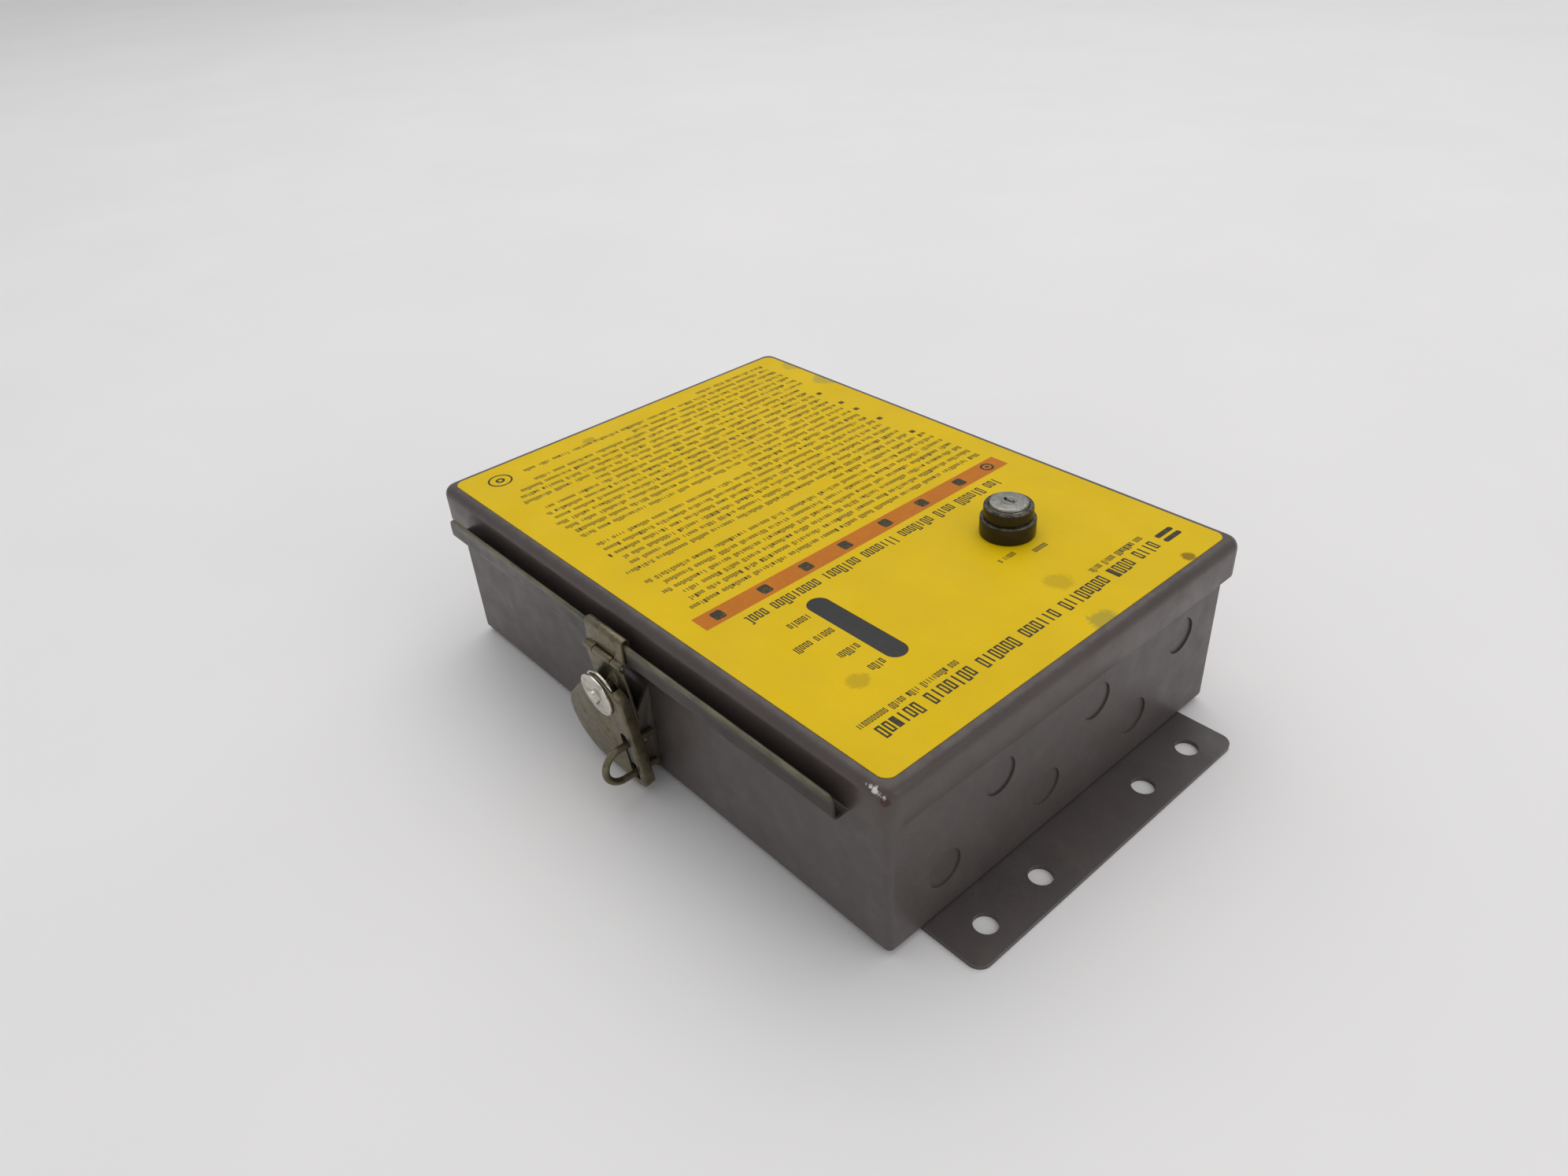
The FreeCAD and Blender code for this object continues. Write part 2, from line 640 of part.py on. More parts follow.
def make_lid():
    body = new_body("lid_cover")
    outer_x = half_length + d.lid_overhang
    outline = new_sketch(body, "XY_Plane", d.skirt_level, "lid_outline")
    draw_rectangle(outline, -outer_x, -skirt_outer, outer_x, skirt_outer)
    block = pad(body, outline, d.lid_level - d.skirt_level, "block")
    corners = round_edges(body, block, is_upright, d.lid_corner, "corners")
    top = d.lid_level.number
    rounded = round_edges(body, corners, lambda e: lies_at(e, top), d.lid_edge, "pressed_edge")
    low = d.skirt_level.number
    hollow(body, rounded, lambda f: f.BoundBox.ZMax < low + 1e-4, d.wall)
    openings = new_sketch(body, "XY_Plane", d.lid_level, "openings")
    end = d.window_length / 2 - d.window_width / 2
    draw_slot(openings, window_x - end, window_x + end, d.window_y, d.window_width / 2)
    draw_circle(openings, key_x, key_y, barrel_hole)
    pocket(body, openings, d.wall * 2, "openings_cut")
    lip = new_sketch(body, "YZ_Plane", 0, "latch_lip")
    inner = d.wall - skirt_outer
    lip_outer = -skirt_outer - d.lip_reach
    under = d.skirt_level - d.wall
    draw_outline(lip, [
        (inner, d.skirt_level), (inner, under), (lip_outer, under), (lip_outer, d.lip_crest),
        (lip_outer + d.wall, d.lip_crest), (lip_outer + d.wall, d.skirt_level),
    ])
    turned = pad(body, lip, lip_half * 2, "latch_lip_pad", both_ways=True)
    outer_line = lip_outer.number
    under_line = under.number
    crest = d.lip_crest.number

    def under_bend(edge):
        box_ = edge.BoundBox
        return lies_at(edge, under_line) and abs(box_.YMax - outer_line) < 1e-4 and box_.XLength > 1

    def end_corner(edge):
        box_ = edge.BoundBox
        return lies_at(edge, crest) and box_.XLength < 1e-4 and abs(box_.YMin - outer_line) < 1e-4

    bent = round_edges(body, turned, under_bend, d.lip_bend, "lip_bend")
    round_edges(body, bent, end_corner, d.lip_end, "lip_end_corners")
    return settle(body, "lid_cover")


def make_gasket():
    body = new_body("lid_gasket")
    strip = new_sketch(body, "XY_Plane", d.rim_level + d.face_gap, "strip")
    for inset in (d.gasket_inset, d.gasket_inset + d.gasket_width):
        x = half_length - inset
        y = half_width - inset
        draw_rectangle(strip, -x, -y, x, y)
    pad(body, strip, lid_underside - d.rim_level - d.face_gap, "foam")
    return settle(body, "lid_gasket")


def make_label():
    body = new_body("front_label")
    film = new_sketch(body, "XY_Plane", d.lid_level, "film")
    x = half_length - d.label_margin_x - d.label_corner
    y = half_width - d.label_margin_y - d.label_corner
    draw_hull(film, [
        (-x, -y, d.label_corner), (x, -y, d.label_corner), (x, y, d.label_corner), (-x, y, d.label_corner),
    ])
    end = d.window_length / 2 - d.window_width / 2
    draw_slot(film, window_x - end, window_x + end, d.window_y, d.window_width / 2)
    draw_circle(film, key_x, key_y, barrel_hole)
    pad(body, film, d.label_thickness, "film_pad")
    return settle(body, "front_label")


def make_window():
    body = new_body("lamp_window")
    lens = new_sketch(body, "XY_Plane", d.lid_level - d.lens_seat, "lens")
    radius = d.window_width / 2 - d.window_fit
    end = d.window_length / 2 - d.window_width / 2
    draw_slot(lens, window_x - end, window_x + end, d.window_y, radius)
    pad(body, lens, d.lens_seat + d.label_thickness * 0.6, "lens_pad")
    return settle(body, "lamp_window")


# ---------------------------------------------------------------- continuous hinge

def knuckle_spans(first):
    """Start and length of every second knuckle, beginning with the given one."""
    step = hinge_half * 2 / HINGE_KNUCKLES
    for index in range(first, HINGE_KNUCKLES, 2):
        start = step * index - hinge_half + d.knuckle_gap / 2
        yield start, step - d.knuckle_gap


def bored(shapes, bore, label):
    """Shapes joined and bored for a pin along X."""
    return settle(minus(union(shapes), bore, label), label)


def make_box_leaf():
    near = half_width
    face = near + d.leaf_thickness
    neck = skirt_outer + d.leaf_thickness
    joggle_low = d.hinge_level - d.knuckle_radius - d.lid_overhang * 2
    joggle_high = d.hinge_level - d.knuckle_radius * 1.3
    shapes = []
    leaf = new_body("box_leaf_sheet")
    profile = new_sketch(leaf, "YZ_Plane", 0, "leaf_profile")
    draw_rectangle(profile, near, d.leaf_bottom, face, joggle_low)
    pad(leaf, profile, hinge_half * 2, "leaf_pad", both_ways=True)
    shapes.append(leaf)
    for start, length in knuckle_spans(0):
        rise = new_body("box_leaf_neck")
        joggle = new_sketch(rise, "YZ_Plane", start, "joggle")
        draw_outline(joggle, [
            (near, joggle_low - d.leaf_thickness), (face, joggle_low - d.leaf_thickness),
            (neck, joggle_high), (neck, d.hinge_level), (skirt_outer, d.hinge_level),
            (skirt_outer, joggle_high + d.leaf_thickness / 2), (near, joggle_low + d.leaf_thickness / 2),
        ])
        pad(rise, joggle, length, "neck_pad")
        shapes.append(rise)
        shapes.append(rod(start, hinge_y, d.hinge_level, d.knuckle_radius, length, ALONG_X))
    bore = rod(-hinge_half, hinge_y, d.hinge_level, knuckle_bore, hinge_half * 2, ALONG_X)
    return bored(shapes, bore, "hinge_leaf_box")


def make_lid_leaf():
    outer = skirt_outer + d.leaf_thickness
    shapes = [
        box(-hinge_half, skirt_outer, d.skirt_level + d.face_gap, hinge_half, outer, d.leaf_top)
    ]
    for start, length in knuckle_spans(1):
        shapes.append(
            box(start, skirt_outer, d.hinge_level, start + length, outer, d.skirt_level + d.wall)
        )
        shapes.append(rod(start, hinge_y, d.hinge_level, d.knuckle_radius, length, ALONG_X))
    bore = rod(-hinge_half, hinge_y, d.hinge_level, knuckle_bore, hinge_half * 2, ALONG_X)
    return bored(shapes, bore, "hinge_leaf_lid")


def make_hinge_pin():
    pin = rod(-hinge_half - 1, hinge_y, d.hinge_level, d.hinge_pin_radius, hinge_half * 2 + 2,
              ALONG_X, "hinge_pin")
    return settle(pin, "hinge_pin")


# ---------------------------------------------------------------- latch on the lid's lip

def arm_body(name):
    """A body whose own origin is the latch pin and which leans with the arm."""
    body = new_body(name)
    return place(body, 0, pivot_y, d.pivot_level, ARM_TURN)


def make_latch_hook():
    """Hook folded over the lip, with a knuckle at each side for the latch pin."""
    lip_outer = -skirt_outer - d.lip_reach
    front = lip_outer - d.hook_gap
    back = lip_outer + d.wall + d.hook_gap
    under_bend = d.lip_crest + d.hook_rise
    top = under_bend + d.strap_thickness
    hook = new_body("hook_sheet")
    profile = new_sketch(hook, "YZ_Plane", 0, "hook_profile")
    draw_outline(profile, [
        (front, d.pivot_level), (front, under_bend), (back, under_bend), (back, d.lip_crest - d.hook_drop),
        (back + d.strap_thickness, d.lip_crest - d.hook_drop), (back + d.strap_thickness, top),
        (front - d.strap_thickness, top), (front - d.strap_thickness, d.pivot_level),
    ])
    sheet = pad(hook, profile, d.strap_half * 2, "hook_pad", both_ways=True)
    level = top.number
    round_edges(hook, sheet, lambda e: lies_at(e, level) and e.BoundBox.XLength > 1, d.strap_thickness * 1.6)
    knuckle = d.strap_half - d.strap_knuckle_half - d.face_gap
    shapes = [hook]
    for start in (-d.strap_half, d.strap_half - knuckle):
        shapes.append(rod(start, pivot_y, d.pivot_level, d.latch_knuckle, knuckle, ALONG_X))
    room = rod(-d.strap_knuckle_half - d.face_gap, pivot_y, d.pivot_level, d.latch_knuckle + d.face_gap,
               (d.strap_knuckle_half + d.face_gap) * 2, ALONG_X)
    bore = rod(-d.strap_half, pivot_y, d.pivot_level, d.latch_pin_radius + d.pin_clearance,
               d.strap_half * 2, ALONG_X)
    return settle(minus(minus(union(shapes), room), bore, "latch_hook"), "latch_hook")


def make_latch_pin():
    pin = rod(-d.strap_half, pivot_y, d.pivot_level, d.latch_pin_radius, d.strap_half * 2, ALONG_X, "latch_pin")
    return settle(pin, "latch_pin")


def make_strap():
    """Flat strap that hangs from the latch pin; it carries the paddle."""
    body = arm_body("latch_strap")
    side = new_sketch(body, "YZ_Plane", 0, "knuckle")
    draw_circle(side, 0, 0, d.latch_knuckle)
    pad(body, side, d.strap_knuckle_half * 2, "knuckle_pad", both_ways=True)
    clear = d.latch_knuckle + d.face_gap
    face = new_sketch(body, "XZ_Plane", d.strap_front, "strap_face")
    draw_outline(face, [
        (-d.strap_knuckle_half, 0), (-d.strap_knuckle_half, -clear), (-d.strap_half, -clear),
        (-d.strap_half, -d.strap_length), (d.strap_half, -d.strap_length), (d.strap_half, -clear),
        (d.strap_knuckle_half, -clear), (d.strap_knuckle_half, 0),
    ])
    pad(body, face, -d.strap_thickness, "strap_pad")
    bore = new_sketch(body, "YZ_Plane", d.strap_knuckle_half, "pin_bore")
    draw_circle(bore, 0, 0, d.latch_pin_radius + d.pin_clearance)
    pocket(body, bore, d.strap_knuckle_half * 2, "pin_bore_cut")
    stud = new_sketch(body, "XZ_Plane", d.strap_front, "stud_hole")
    draw_circle(stud, 0, -d.stud_drop, d.stud_shank)
    pocket(body, stud, d.strap_thickness, "stud_hole_cut")
    return settle(body, "latch_strap")


def paddle_outline(sketch, inset):
    """The paddle's belt outline, drawn smaller by an inset."""
    corner = d.paddle_small_corner - inset
    corner_x = d.paddle_side - d.paddle_small_corner
    draw_hull(sketch, [
        (-d.paddle_lobe_out, d.paddle_lobe - d.paddle_bottom, d.paddle_lobe - inset),
        (corner_x, d.paddle_small_corner - d.paddle_bottom, corner),
        (corner_x, -d.stud_drop, corner),
        (0, -d.stud_drop, d.lug_radius - inset),
    ])


def make_paddle():
    """Pressed paddle with a turned-back rim and a slot that drops over the padlock staple."""
    body = arm_body("latch_paddle")
    outer = new_sketch(body, "XZ_Plane", d.paddle_front, "outline")
    paddle_outline(outer, size(0))
    pressed = pad(body, outer, -d.paddle_depth, "pressing")
    front = -d.paddle_front.number

    def at_front(edge):
        return abs(edge.BoundBox.YMin - front) < 1e-4 and abs(edge.BoundBox.YMax - front) < 1e-4

    round_edges(body, pressed, at_front, d.paddle_sheet * 0.8, "rolled_edge")
    inner = new_sketch(body, "XZ_Plane", d.paddle_front - d.paddle_depth, "hollow")
    paddle_outline(inner, d.paddle_sheet)
    pocket(body, inner, d.paddle_depth - d.paddle_sheet, "hollow_cut", outwards=True)
    relief = new_sketch(body, "XZ_Plane", d.paddle_front - d.paddle_depth, "stud_relief")
    draw_circle(relief, 0, -d.stud_drop, d.stud_radius + d.stud_flange)
    pocket(body, relief, d.paddle_depth - d.paddle_sheet, "stud_relief_cut", outwards=True)
    openings = new_sketch(body, "XZ_Plane", d.paddle_front, "openings")
    draw_circle(openings, 0, -d.stud_drop, d.stud_shank)
    half = d.slot_width / 2
    middle = d.bracket_half + d.staple_radius
    draw_hull(openings, [
        (middle, half - d.slot_bottom, half), (middle, -half - d.slot_top, half),
    ])
    pocket(body, openings, d.paddle_sheet * 2, "openings_cut")
    return settle(body, "latch_paddle")


def make_stud():
    """Spool-shaped rivet: a shank, a flange each side of the paddle and a boss on the front."""
    body = arm_body("latch_rivet")
    front = d.paddle_front + d.stud_flange
    rear = d.paddle_front - d.paddle_sheet
    discs = [
        (front, d.stud_flange, d.stud_radius, "front_flange"),
        (rear, d.stud_flange, d.stud_radius, "rear_flange"),
        (front + d.stud_boss_height, front + d.stud_boss_height - d.strap_front + d.strap_thickness,
         d.stud_boss_radius, "shank"),
    ]
    for start, length, radius, name in discs:
        ring = new_sketch(body, "XZ_Plane", start, name)
        draw_circle(ring, 0, -d.stud_drop, radius)
        made = pad(body, ring, -length, name + "_pad")
    rim = d.stud_radius.number
    round_edges(body, made, lambda e: e.BoundBox.XLength > 2 * rim - 1e-3, d.stud_flange * 0.35, "soft_rims")
    return settle(body, "latch_rivet")


def make_spring():
    """Leaf spring under the strap; its bowed end snaps past the keeper pin."""
    body = arm_body("latch_spring")
    back = d.strap_thickness - d.strap_front
    thin = d.clip_thickness
    keep_low = d.slot_bottom - d.clip_half * 3
    side = new_sketch(body, "YZ_Plane", 0, "strip")
    bow = -thin
    draw_outline(side, [
        (back, -d.stud_drop + d.clip_half), (back, -d.strap_length), (bow, -d.strap_length - 3),
        (bow, -keep_low + 2.6), (back + thin, -keep_low), (back + thin * 2, -keep_low),
        (back + thin * 2, -keep_low + thin), (bow + thin, -keep_low + 2.8),
        (bow + thin, -d.strap_length - 3), (back + thin, -d.strap_length + 0.4),
        (back + thin, -d.stud_drop + d.clip_half),
    ])
    pad(body, side, d.clip_half * 2, "strip_pad", both_ways=True)
    hole = new_sketch(body, "XZ_Plane", -back, "stud_hole")
    draw_circle(hole, 0, -d.stud_drop, d.stud_shank)
    pocket(body, hole, thin, "stud_hole_cut")
    return settle(body, "latch_spring")


def make_bracket():
    """Bracket welded to the box: a back plate and two ears that hold the keeper pin."""
    body = new_body("latch_bracket")
    side = new_sketch(body, "YZ_Plane", -d.bracket_half, "ear")
    wall_line = latch_wall
    draw_outline(side, [
        (wall_line, d.bracket_bottom), (wall_line, d.bracket_top),
        (wall_line - d.ear_reach * 0.9, d.keeper_level + d.ear_reach),
        (wall_line - d.ear_reach, d.keeper_level + d.keeper_out),
        (wall_line - d.ear_reach, d.keeper_level - d.keeper_radius * 2),
        (wall_line - d.keeper_out, d.bracket_bottom + d.keeper_radius * 3),
    ])
    pad(body, side, d.bracket_half * 2, "ears")
    gap = new_sketch(body, "XY_Plane", d.bracket_top, "between_ears")
    inner = d.bracket_half - d.bracket_sheet
    draw_rectangle(gap, -inner, wall_line - d.ear_reach - 1, inner, wall_line - d.bracket_sheet)
    pocket(body, gap, d.bracket_top - d.bracket_bottom, "between_ears_cut")
    bore = new_sketch(body, "YZ_Plane", d.bracket_half, "keeper_bore")
    draw_circle(bore, wall_line - d.keeper_out, d.keeper_level, d.keeper_radius)
    pocket(body, bore, d.bracket_half * 2, "keeper_bore_cut")
    return settle(body, "latch_bracket")


def make_keeper_pin():
    reach = d.bracket_half + d.keeper_proud
    pin = rod(-reach, latch_wall - d.keeper_out, d.keeper_level, d.keeper_radius, reach * 2, ALONG_X)
    return settle(pin, "keeper_pin")


def make_staple():
    """Bent wire loop welded to one ear; a padlock goes through it."""
    x = d.bracket_half + d.staple_radius
    bend = (d.staple_high - d.staple_low) / 2
    turn_y = latch_wall - d.staple_reach + bend + d.staple_radius
    middle = d.staple_low + bend
    legs = [
        rod(x, turn_y, level, d.staple_radius, latch_wall - d.staple_root - turn_y, ALONG_Y)
        for level in (d.staple_low, d.staple_high)
    ]
    ring = doc.addObject("Part::Torus", "staple_bend")
    bind(ring, "Radius1", bend)
    bind(ring, "Radius2", d.staple_radius)
    place(ring, x, turn_y, middle, ALONG_X)
    half = box(x - d.staple_radius * 2, turn_y - bend * 2, middle - bend * 2,
               x + d.staple_radius * 2, turn_y, middle + bend * 2)
    loop = doc.addObject("Part::Common", "staple_half")
    loop.Base = ring
    loop.Tool = half
    return settle(union([loop] + legs, "padlock_staple"), "padlock_staple")


# ---------------------------------------------------------------- key switch

def make_key_bezel():
    ring = tube(key_x, key_y, label_top, bezel_radius, barrel_hole, d.bezel_height, name="key_bezel")
    return settle(ring, "key_bezel")


def make_key_body():
    """Head and threaded barrel of the key switch, bored for the lock core."""
    head = rod(key_x, key_y, head_bottom, collar_radius, d.collar_height)
    barrel = rod(key_x, key_y, d.barrel_bottom, d.barrel_radius, head_bottom - d.barrel_bottom)
    seat = rod(key_x, key_y, head_top - d.cap_depth, cap_radius + d.running_gap, d.cap_depth)
    bore = rod(key_x, key_y, d.barrel_bottom, rotor_radius + d.running_gap, head_top - d.barrel_bottom)
    return settle(minus(union([head, barrel]), union([seat, bore]), "key_switch_body"), "key_switch_body")


def tail_middle():
    """Height of the slanted tail's middle; its low side is level with the barrel's end."""
    return d.barrel_bottom + rotor_radius * d.tail_slope


def make_lock_core():
    """Lock core: capped rotor with a key slot and a slanted tail that drives the plunger."""
    top = head_top + d.cap_proud
    seat = head_top - d.cap_depth + d.running_gap
    tail = tail_middle()
    rise = rotor_radius * d.tail_slope
    body = new_body("lock_core")
    for level, radius, reach, name in (
        (seat, cap_radius, top - seat, "cap"),
        (seat, rotor_radius, -(seat - tail + rise * 2), "rotor"),
    ):
        ring = new_sketch(body, "XY_Plane", level, name)
        draw_circle(ring, key_x, key_y, radius)
        made = pad(body, ring, reach, name + "_pad")
    crown = top.number
    edge = body.newObject("PartDesign::Chamfer", "cap_bevel")
    edge.Base = (made, edges_where(made, lambda e: lies_at(e, crown)))
    bind(edge, "Size", d.cap_proud / 2)
    doc.recompute()
    keyway = new_sketch(body, "XY_Plane", top, "keyway")
    half = d.keyway_width / 2
    draw_rectangle(keyway, key_x - d.keyway_length / 2, key_y - half,
                   key_x + d.keyway_length / 2, key_y + half)
    pocket(body, keyway, d.keyway_depth, "keyway_cut")
    slant = new_sketch(body, "YZ_Plane", key_x + rotor_radius + 1, "slanted_tail")
    near = key_y - rotor_radius
    far = key_y + rotor_radius
    draw_outline(slant, [
        (near - 1, tail - rise * 3), (far + 1, tail - rise * 3), (far + 1, tail + rise),
        (far, tail + rise), (near, tail - rise), (near - 1, tail - rise),
    ])
    pocket(body, slant, (rotor_radius + 1) * 2, "slanted_tail_cut")
    return settle(body, "lock_core")


def make_key_washer():
    ring = tube(key_x, key_y, lid_underside - d.washer_height, d.barrel_radius + d.washer_band, barrel_hole,
                d.washer_height, name="key_washer")
    return settle(ring, "key_washer")


def make_key_nut():
    level = lid_underside - d.washer_height - d.nut_height
    blank = hexagon(key_x, key_y, level, (d.barrel_radius + d.nut_band) * 2, d.nut_height)
    bore = rod(key_x, key_y, level, d.barrel_radius, d.nut_height)
    return settle(minus(blank, bore, "key_nut"), "key_nut")


def plunger_place():
    """The plunger stands beside the key axis; the key turns the tail from 30 degrees above
    level to 30 degrees below it there."""
    x = key_x + plunger_offset * math.cos(math.radians(30))
    y = key_y + plunger_offset * math.sin(math.radians(30))
    return x, y


def plunger_stroke():
    return plunger_offset * d.tail_slope


def make_contact_block():
    half = d.barrel_radius + d.contact_margin
    block = box(key_x - half, key_y - half, d.contact_bottom,
                key_x + half, key_y + half, d.contact_top)
    collar = rod(key_x, key_y, d.contact_top, d.barrel_radius + d.contact_band,
                 d.barrel_bottom + d.contact_lap - d.contact_top)
    socket = rod(key_x, key_y, d.barrel_bottom, d.barrel_radius, d.contact_lap)
    cavity = rod(key_x, key_y, d.contact_top, d.barrel_radius - d.wall, d.barrel_bottom - d.contact_top)
    x, y = plunger_place()
    shaft = d.plunger_seat + plunger_stroke() + d.face_gap
    bore = rod(x, y, d.contact_top - shaft, d.plunger_radius + d.running_gap, shaft)
    slots = []
    for side in (-1, 1):
        slots.append(box(key_x - half * 0.8, key_y + half * side - d.wall, d.contact_bottom + d.wall,
                         key_x + half * 0.8, key_y + half * side + d.wall, d.contact_bottom + d.wall * 4))
    tools = union([socket, cavity, bore] + slots)
    return settle(minus(union([block, collar]), tools, "contact_block"), "contact_block")


def make_plunger():
    x, y = plunger_place()
    bottom = d.contact_top - d.plunger_seat
    tail_here = tail_middle() + (plunger_offset * math.sin(math.radians(30)) - d.plunger_radius) * d.tail_slope
    stem = rod(x, y, bottom, d.plunger_radius, tail_here - d.plunger_gap - bottom, name="contact_plunger")
    return settle(stem, "contact_plunger")


# ---------------------------------------------------------------- lamps behind the window

def lamp_posts():
    for way in (-1, 1):
        yield window_x + d.lamp_post_step * way


def make_lamp_board():
    top = d.lamp_board_level + d.board_thickness
    sheet = box(window_x - d.lamp_board_length / 2, d.window_y - d.lamp_board_width / 2, d.lamp_board_level,
                window_x + d.lamp_board_length / 2, d.window_y + d.lamp_board_width / 2, top)
    hole = d.small_screw_radius + d.screw_clearance
    holes = union([rod(x, d.window_y, d.lamp_board_level, hole, d.board_thickness) for x in lamp_posts()])
    return settle(minus(sheet, holes, "lamp_board"), "lamp_board")


def make_lamp_posts():
    low = d.lamp_board_level + d.board_thickness
    posts = [
        tube(x, d.window_y, low, d.lamp_post_radius, d.small_screw_radius, lid_underside - low)
        for x in lamp_posts()
    ]
    return settle(group(posts, "lamp_posts"), "lamp_posts")


def make_lamp_screws():
    screws = []
    for x in lamp_posts():
        head = rod(x, d.window_y, d.lamp_board_level - d.small_head_height, d.small_head_radius,
                   d.small_head_height)
        shank = rod(x, d.window_y, d.lamp_board_level, d.small_screw_radius, d.board_thickness * 4)
        screws.append(union([head, shank]))
    return settle(group(screws, "lamp_screws"), "lamp_screws")


def make_lamp(index, label):
    """A 5 mm indicator lamp: flange, body and dome."""
    x = window_x + d.lamp_pitch * (index - (len(LAMPS) - 1) / 2)
    low = d.lamp_board_level + d.board_thickness
    centre = low + d.lamp_height - d.lamp_radius
    flange = rod(x, d.window_y, low, d.lamp_flange, 1.0)
    barrel = rod(x, d.window_y, low, d.lamp_radius, d.lamp_height - d.lamp_radius)
    dome = doc.addObject("Part::Sphere", "dome")
    bind(dome, "Radius", d.lamp_radius)
    place(dome, x, d.window_y, centre)
    return settle(union([flange, barrel, dome], label), label)


# ---------------------------------------------------------------- inner panel and main board

def four_corners(step_x, step_y):
    for way_x in (-1, 1):
        for way_y in (-1, 1):
            yield step_x * way_x, step_y * way_y


def make_panel_studs():
    studs = []
    for x, y in four_corners(panel_x - d.stud_inset, panel_y - d.stud_inset):
        foot = rod(x, y, floor_level, d.panel_stud_foot, d.panel_level - floor_level)
        shank = rod(x, y, floor_level, d.panel_stud_radius, d.panel_stud_top - floor_level)
        studs.append(union([foot, shank]))
    return settle(group(studs, "panel_studs"), "panel_studs")


def make_panel():
    body = new_body("mounting_panel")
    outline = new_sketch(body, "XY_Plane", d.panel_level, "outline")
    x = panel_x - d.panel_corner
    y = panel_y - d.panel_corner
    draw_hull(outline, [
        (-x, -y, d.panel_corner), (x, -y, d.panel_corner), (x, y, d.panel_corner), (-x, y, d.panel_corner),
    ])
    for x, y in four_corners(panel_x - d.stud_inset, panel_y - d.stud_inset):
        draw_circle(outline, x, y, d.panel_stud_radius + d.screw_clearance)
    pad(body, outline, d.wall, "panel_pad")
    return settle(body, "mounting_panel")


def make_panel_nuts():
    nuts = [
        minus(hexagon(x, y, panel_top, d.panel_nut_flats, d.panel_nut_height),
              rod(x, y, panel_top, d.panel_stud_radius, d.panel_nut_height))
        for x, y in four_corners(panel_x - d.stud_inset, panel_y - d.stud_inset)
    ]
    return settle(group(nuts, "panel_nuts"), "panel_nuts")


def post_places():
    post_y = board_y - d.post_inset
    yield from four_corners(board_x - d.post_inset, post_y)
    yield size(0), post_y
    yield size(0), -post_y


def make_board_posts():
    posts = [
        minus(hexagon(x, y, panel_top, d.post_flats, d.board_level - panel_top),
              rod(x, y, panel_top, d.small_screw_radius, d.board_level - panel_top))
        for x, y in post_places()
    ]
    return settle(group(posts, "board_posts"), "board_posts")


def make_board():
    sheet = box(-board_x, -board_y, d.board_level, board_x, board_y, board_top)
    hole = d.small_screw_radius + d.screw_clearance
    holes = union([rod(x, y, d.board_level, hole, d.board_thickness) for x, y in post_places()])
    return settle(minus(sheet, holes, "main_board"), "main_board")


def make_board_screws():
    screws = []
    for x, y in post_places():
        head = rod(x, y, board_top, d.small_head_radius, d.small_head_height)
        shank = rod(x, y, d.board_level - 3, d.small_screw_radius, d.board_thickness + 3)
        screws.append(union([head, shank]))
    return settle(group(screws, "board_screws"), "board_screws")


def on_board(place):
    """A place on the main board as two sizes."""
    return size(place[0]), size(place[1])


def terminal_places(side):
    first = d.terminal_pitch * (-(TERMINAL_WAYS - 1) / 2)
    for way in range(TERMINAL_WAYS):
        yield terminal_x * side, first + d.terminal_pitch * way


def make_terminal_block(side, label):
    """Stepped terminal block with a wire mouth and a screw well for each way."""
    x = terminal_x * side
    half_y = d.terminal_pitch * TERMINAL_WAYS / 2
    half_x = d.terminal_depth / 2
    top = board_top + d.terminal_height
    block = box(x - half_x, -half_y, board_top, x + half_x, half_y, top)
    tools = []
    mouth = d.terminal_pitch * 0.3
    outer_face = x + half_x * side
    for way_x, way_y in terminal_places(side):
        tools.append(rod(way_x, way_y, top - 5, d.terminal_screw_radius + 0.3, 5))
        start = outer_face - (6 if side > 0 else 0)
        tools.append(box(start, way_y - mouth, board_top + 2, start + 6, way_y + mouth, board_top + 7))
    return settle(minus(block, union(tools), label), label)


def make_terminal_screws():
    screws = []
    low = board_top + d.terminal_height - 5
    for side in (-1, 1):
        for x, y in terminal_places(side):
            head = rod(x, y, low, d.terminal_screw_radius, 2.5)
            groove = box(x - d.terminal_screw_radius, y - 0.4, low + 1.7, x + d.terminal_screw_radius, y + 0.4,
                         low + 2.5)
            screws.append(minus(head, groove))
    return settle(group(screws, "terminal_screws"), "terminal_screws")


def make_relay(label):
    """Sealed force-guided relay with a shallow step round its base."""
    x, y = on_board(RELAYS_AT[label])
    base = box(x, y, board_top, x + d.relay_length, y + d.relay_width, board_top + 2.5)
    case = box(x + 0.6, y + 0.6, board_top, x + d.relay_length - 0.6, y + d.relay_width - 0.6,
               board_top + d.relay_height)
    return settle(union([base, case], label), label)


def make_transformer_core():
    x, y = on_board(TRANSFORMER_AT)
    z = board_top
    block = box(x, y, z, x + d.core_length, y + d.core_stack, z + d.core_height)
    window = d.core_length / 2 - d.core_leg * 2
    tools = [
        box(x + start, y, z + d.core_leg, x + start + window, y + d.core_stack, z + d.core_height - d.core_leg)
        for start in (d.core_leg, d.core_length - d.core_leg - window)
    ]
    return settle(minus(block, union(tools), "transformer_core"), "transformer_core")


def make_transformer_winding():
    """Coil round the centre leg, standing out in front of and behind the core."""
    x, y = on_board(TRANSFORMER_AT)
    z = board_top
    bulge = d.core_leg
    room = d.face_gap
    left = x + d.core_leg + room
    right = x + d.core_length - d.core_leg - room
    low = z + d.core_leg + room
    high = z + d.core_height - d.core_leg - room
    coil = box(left, y - bulge, low, right, y + d.core_stack + bulge, high)
    leg = d.core_leg + room
    middle = x + d.core_length / 2
    hole = box(middle - leg, y - room, low, middle + leg, y + d.core_stack + room, high)
    return settle(minus(coil, hole, "transformer_winding"), "transformer_winding")


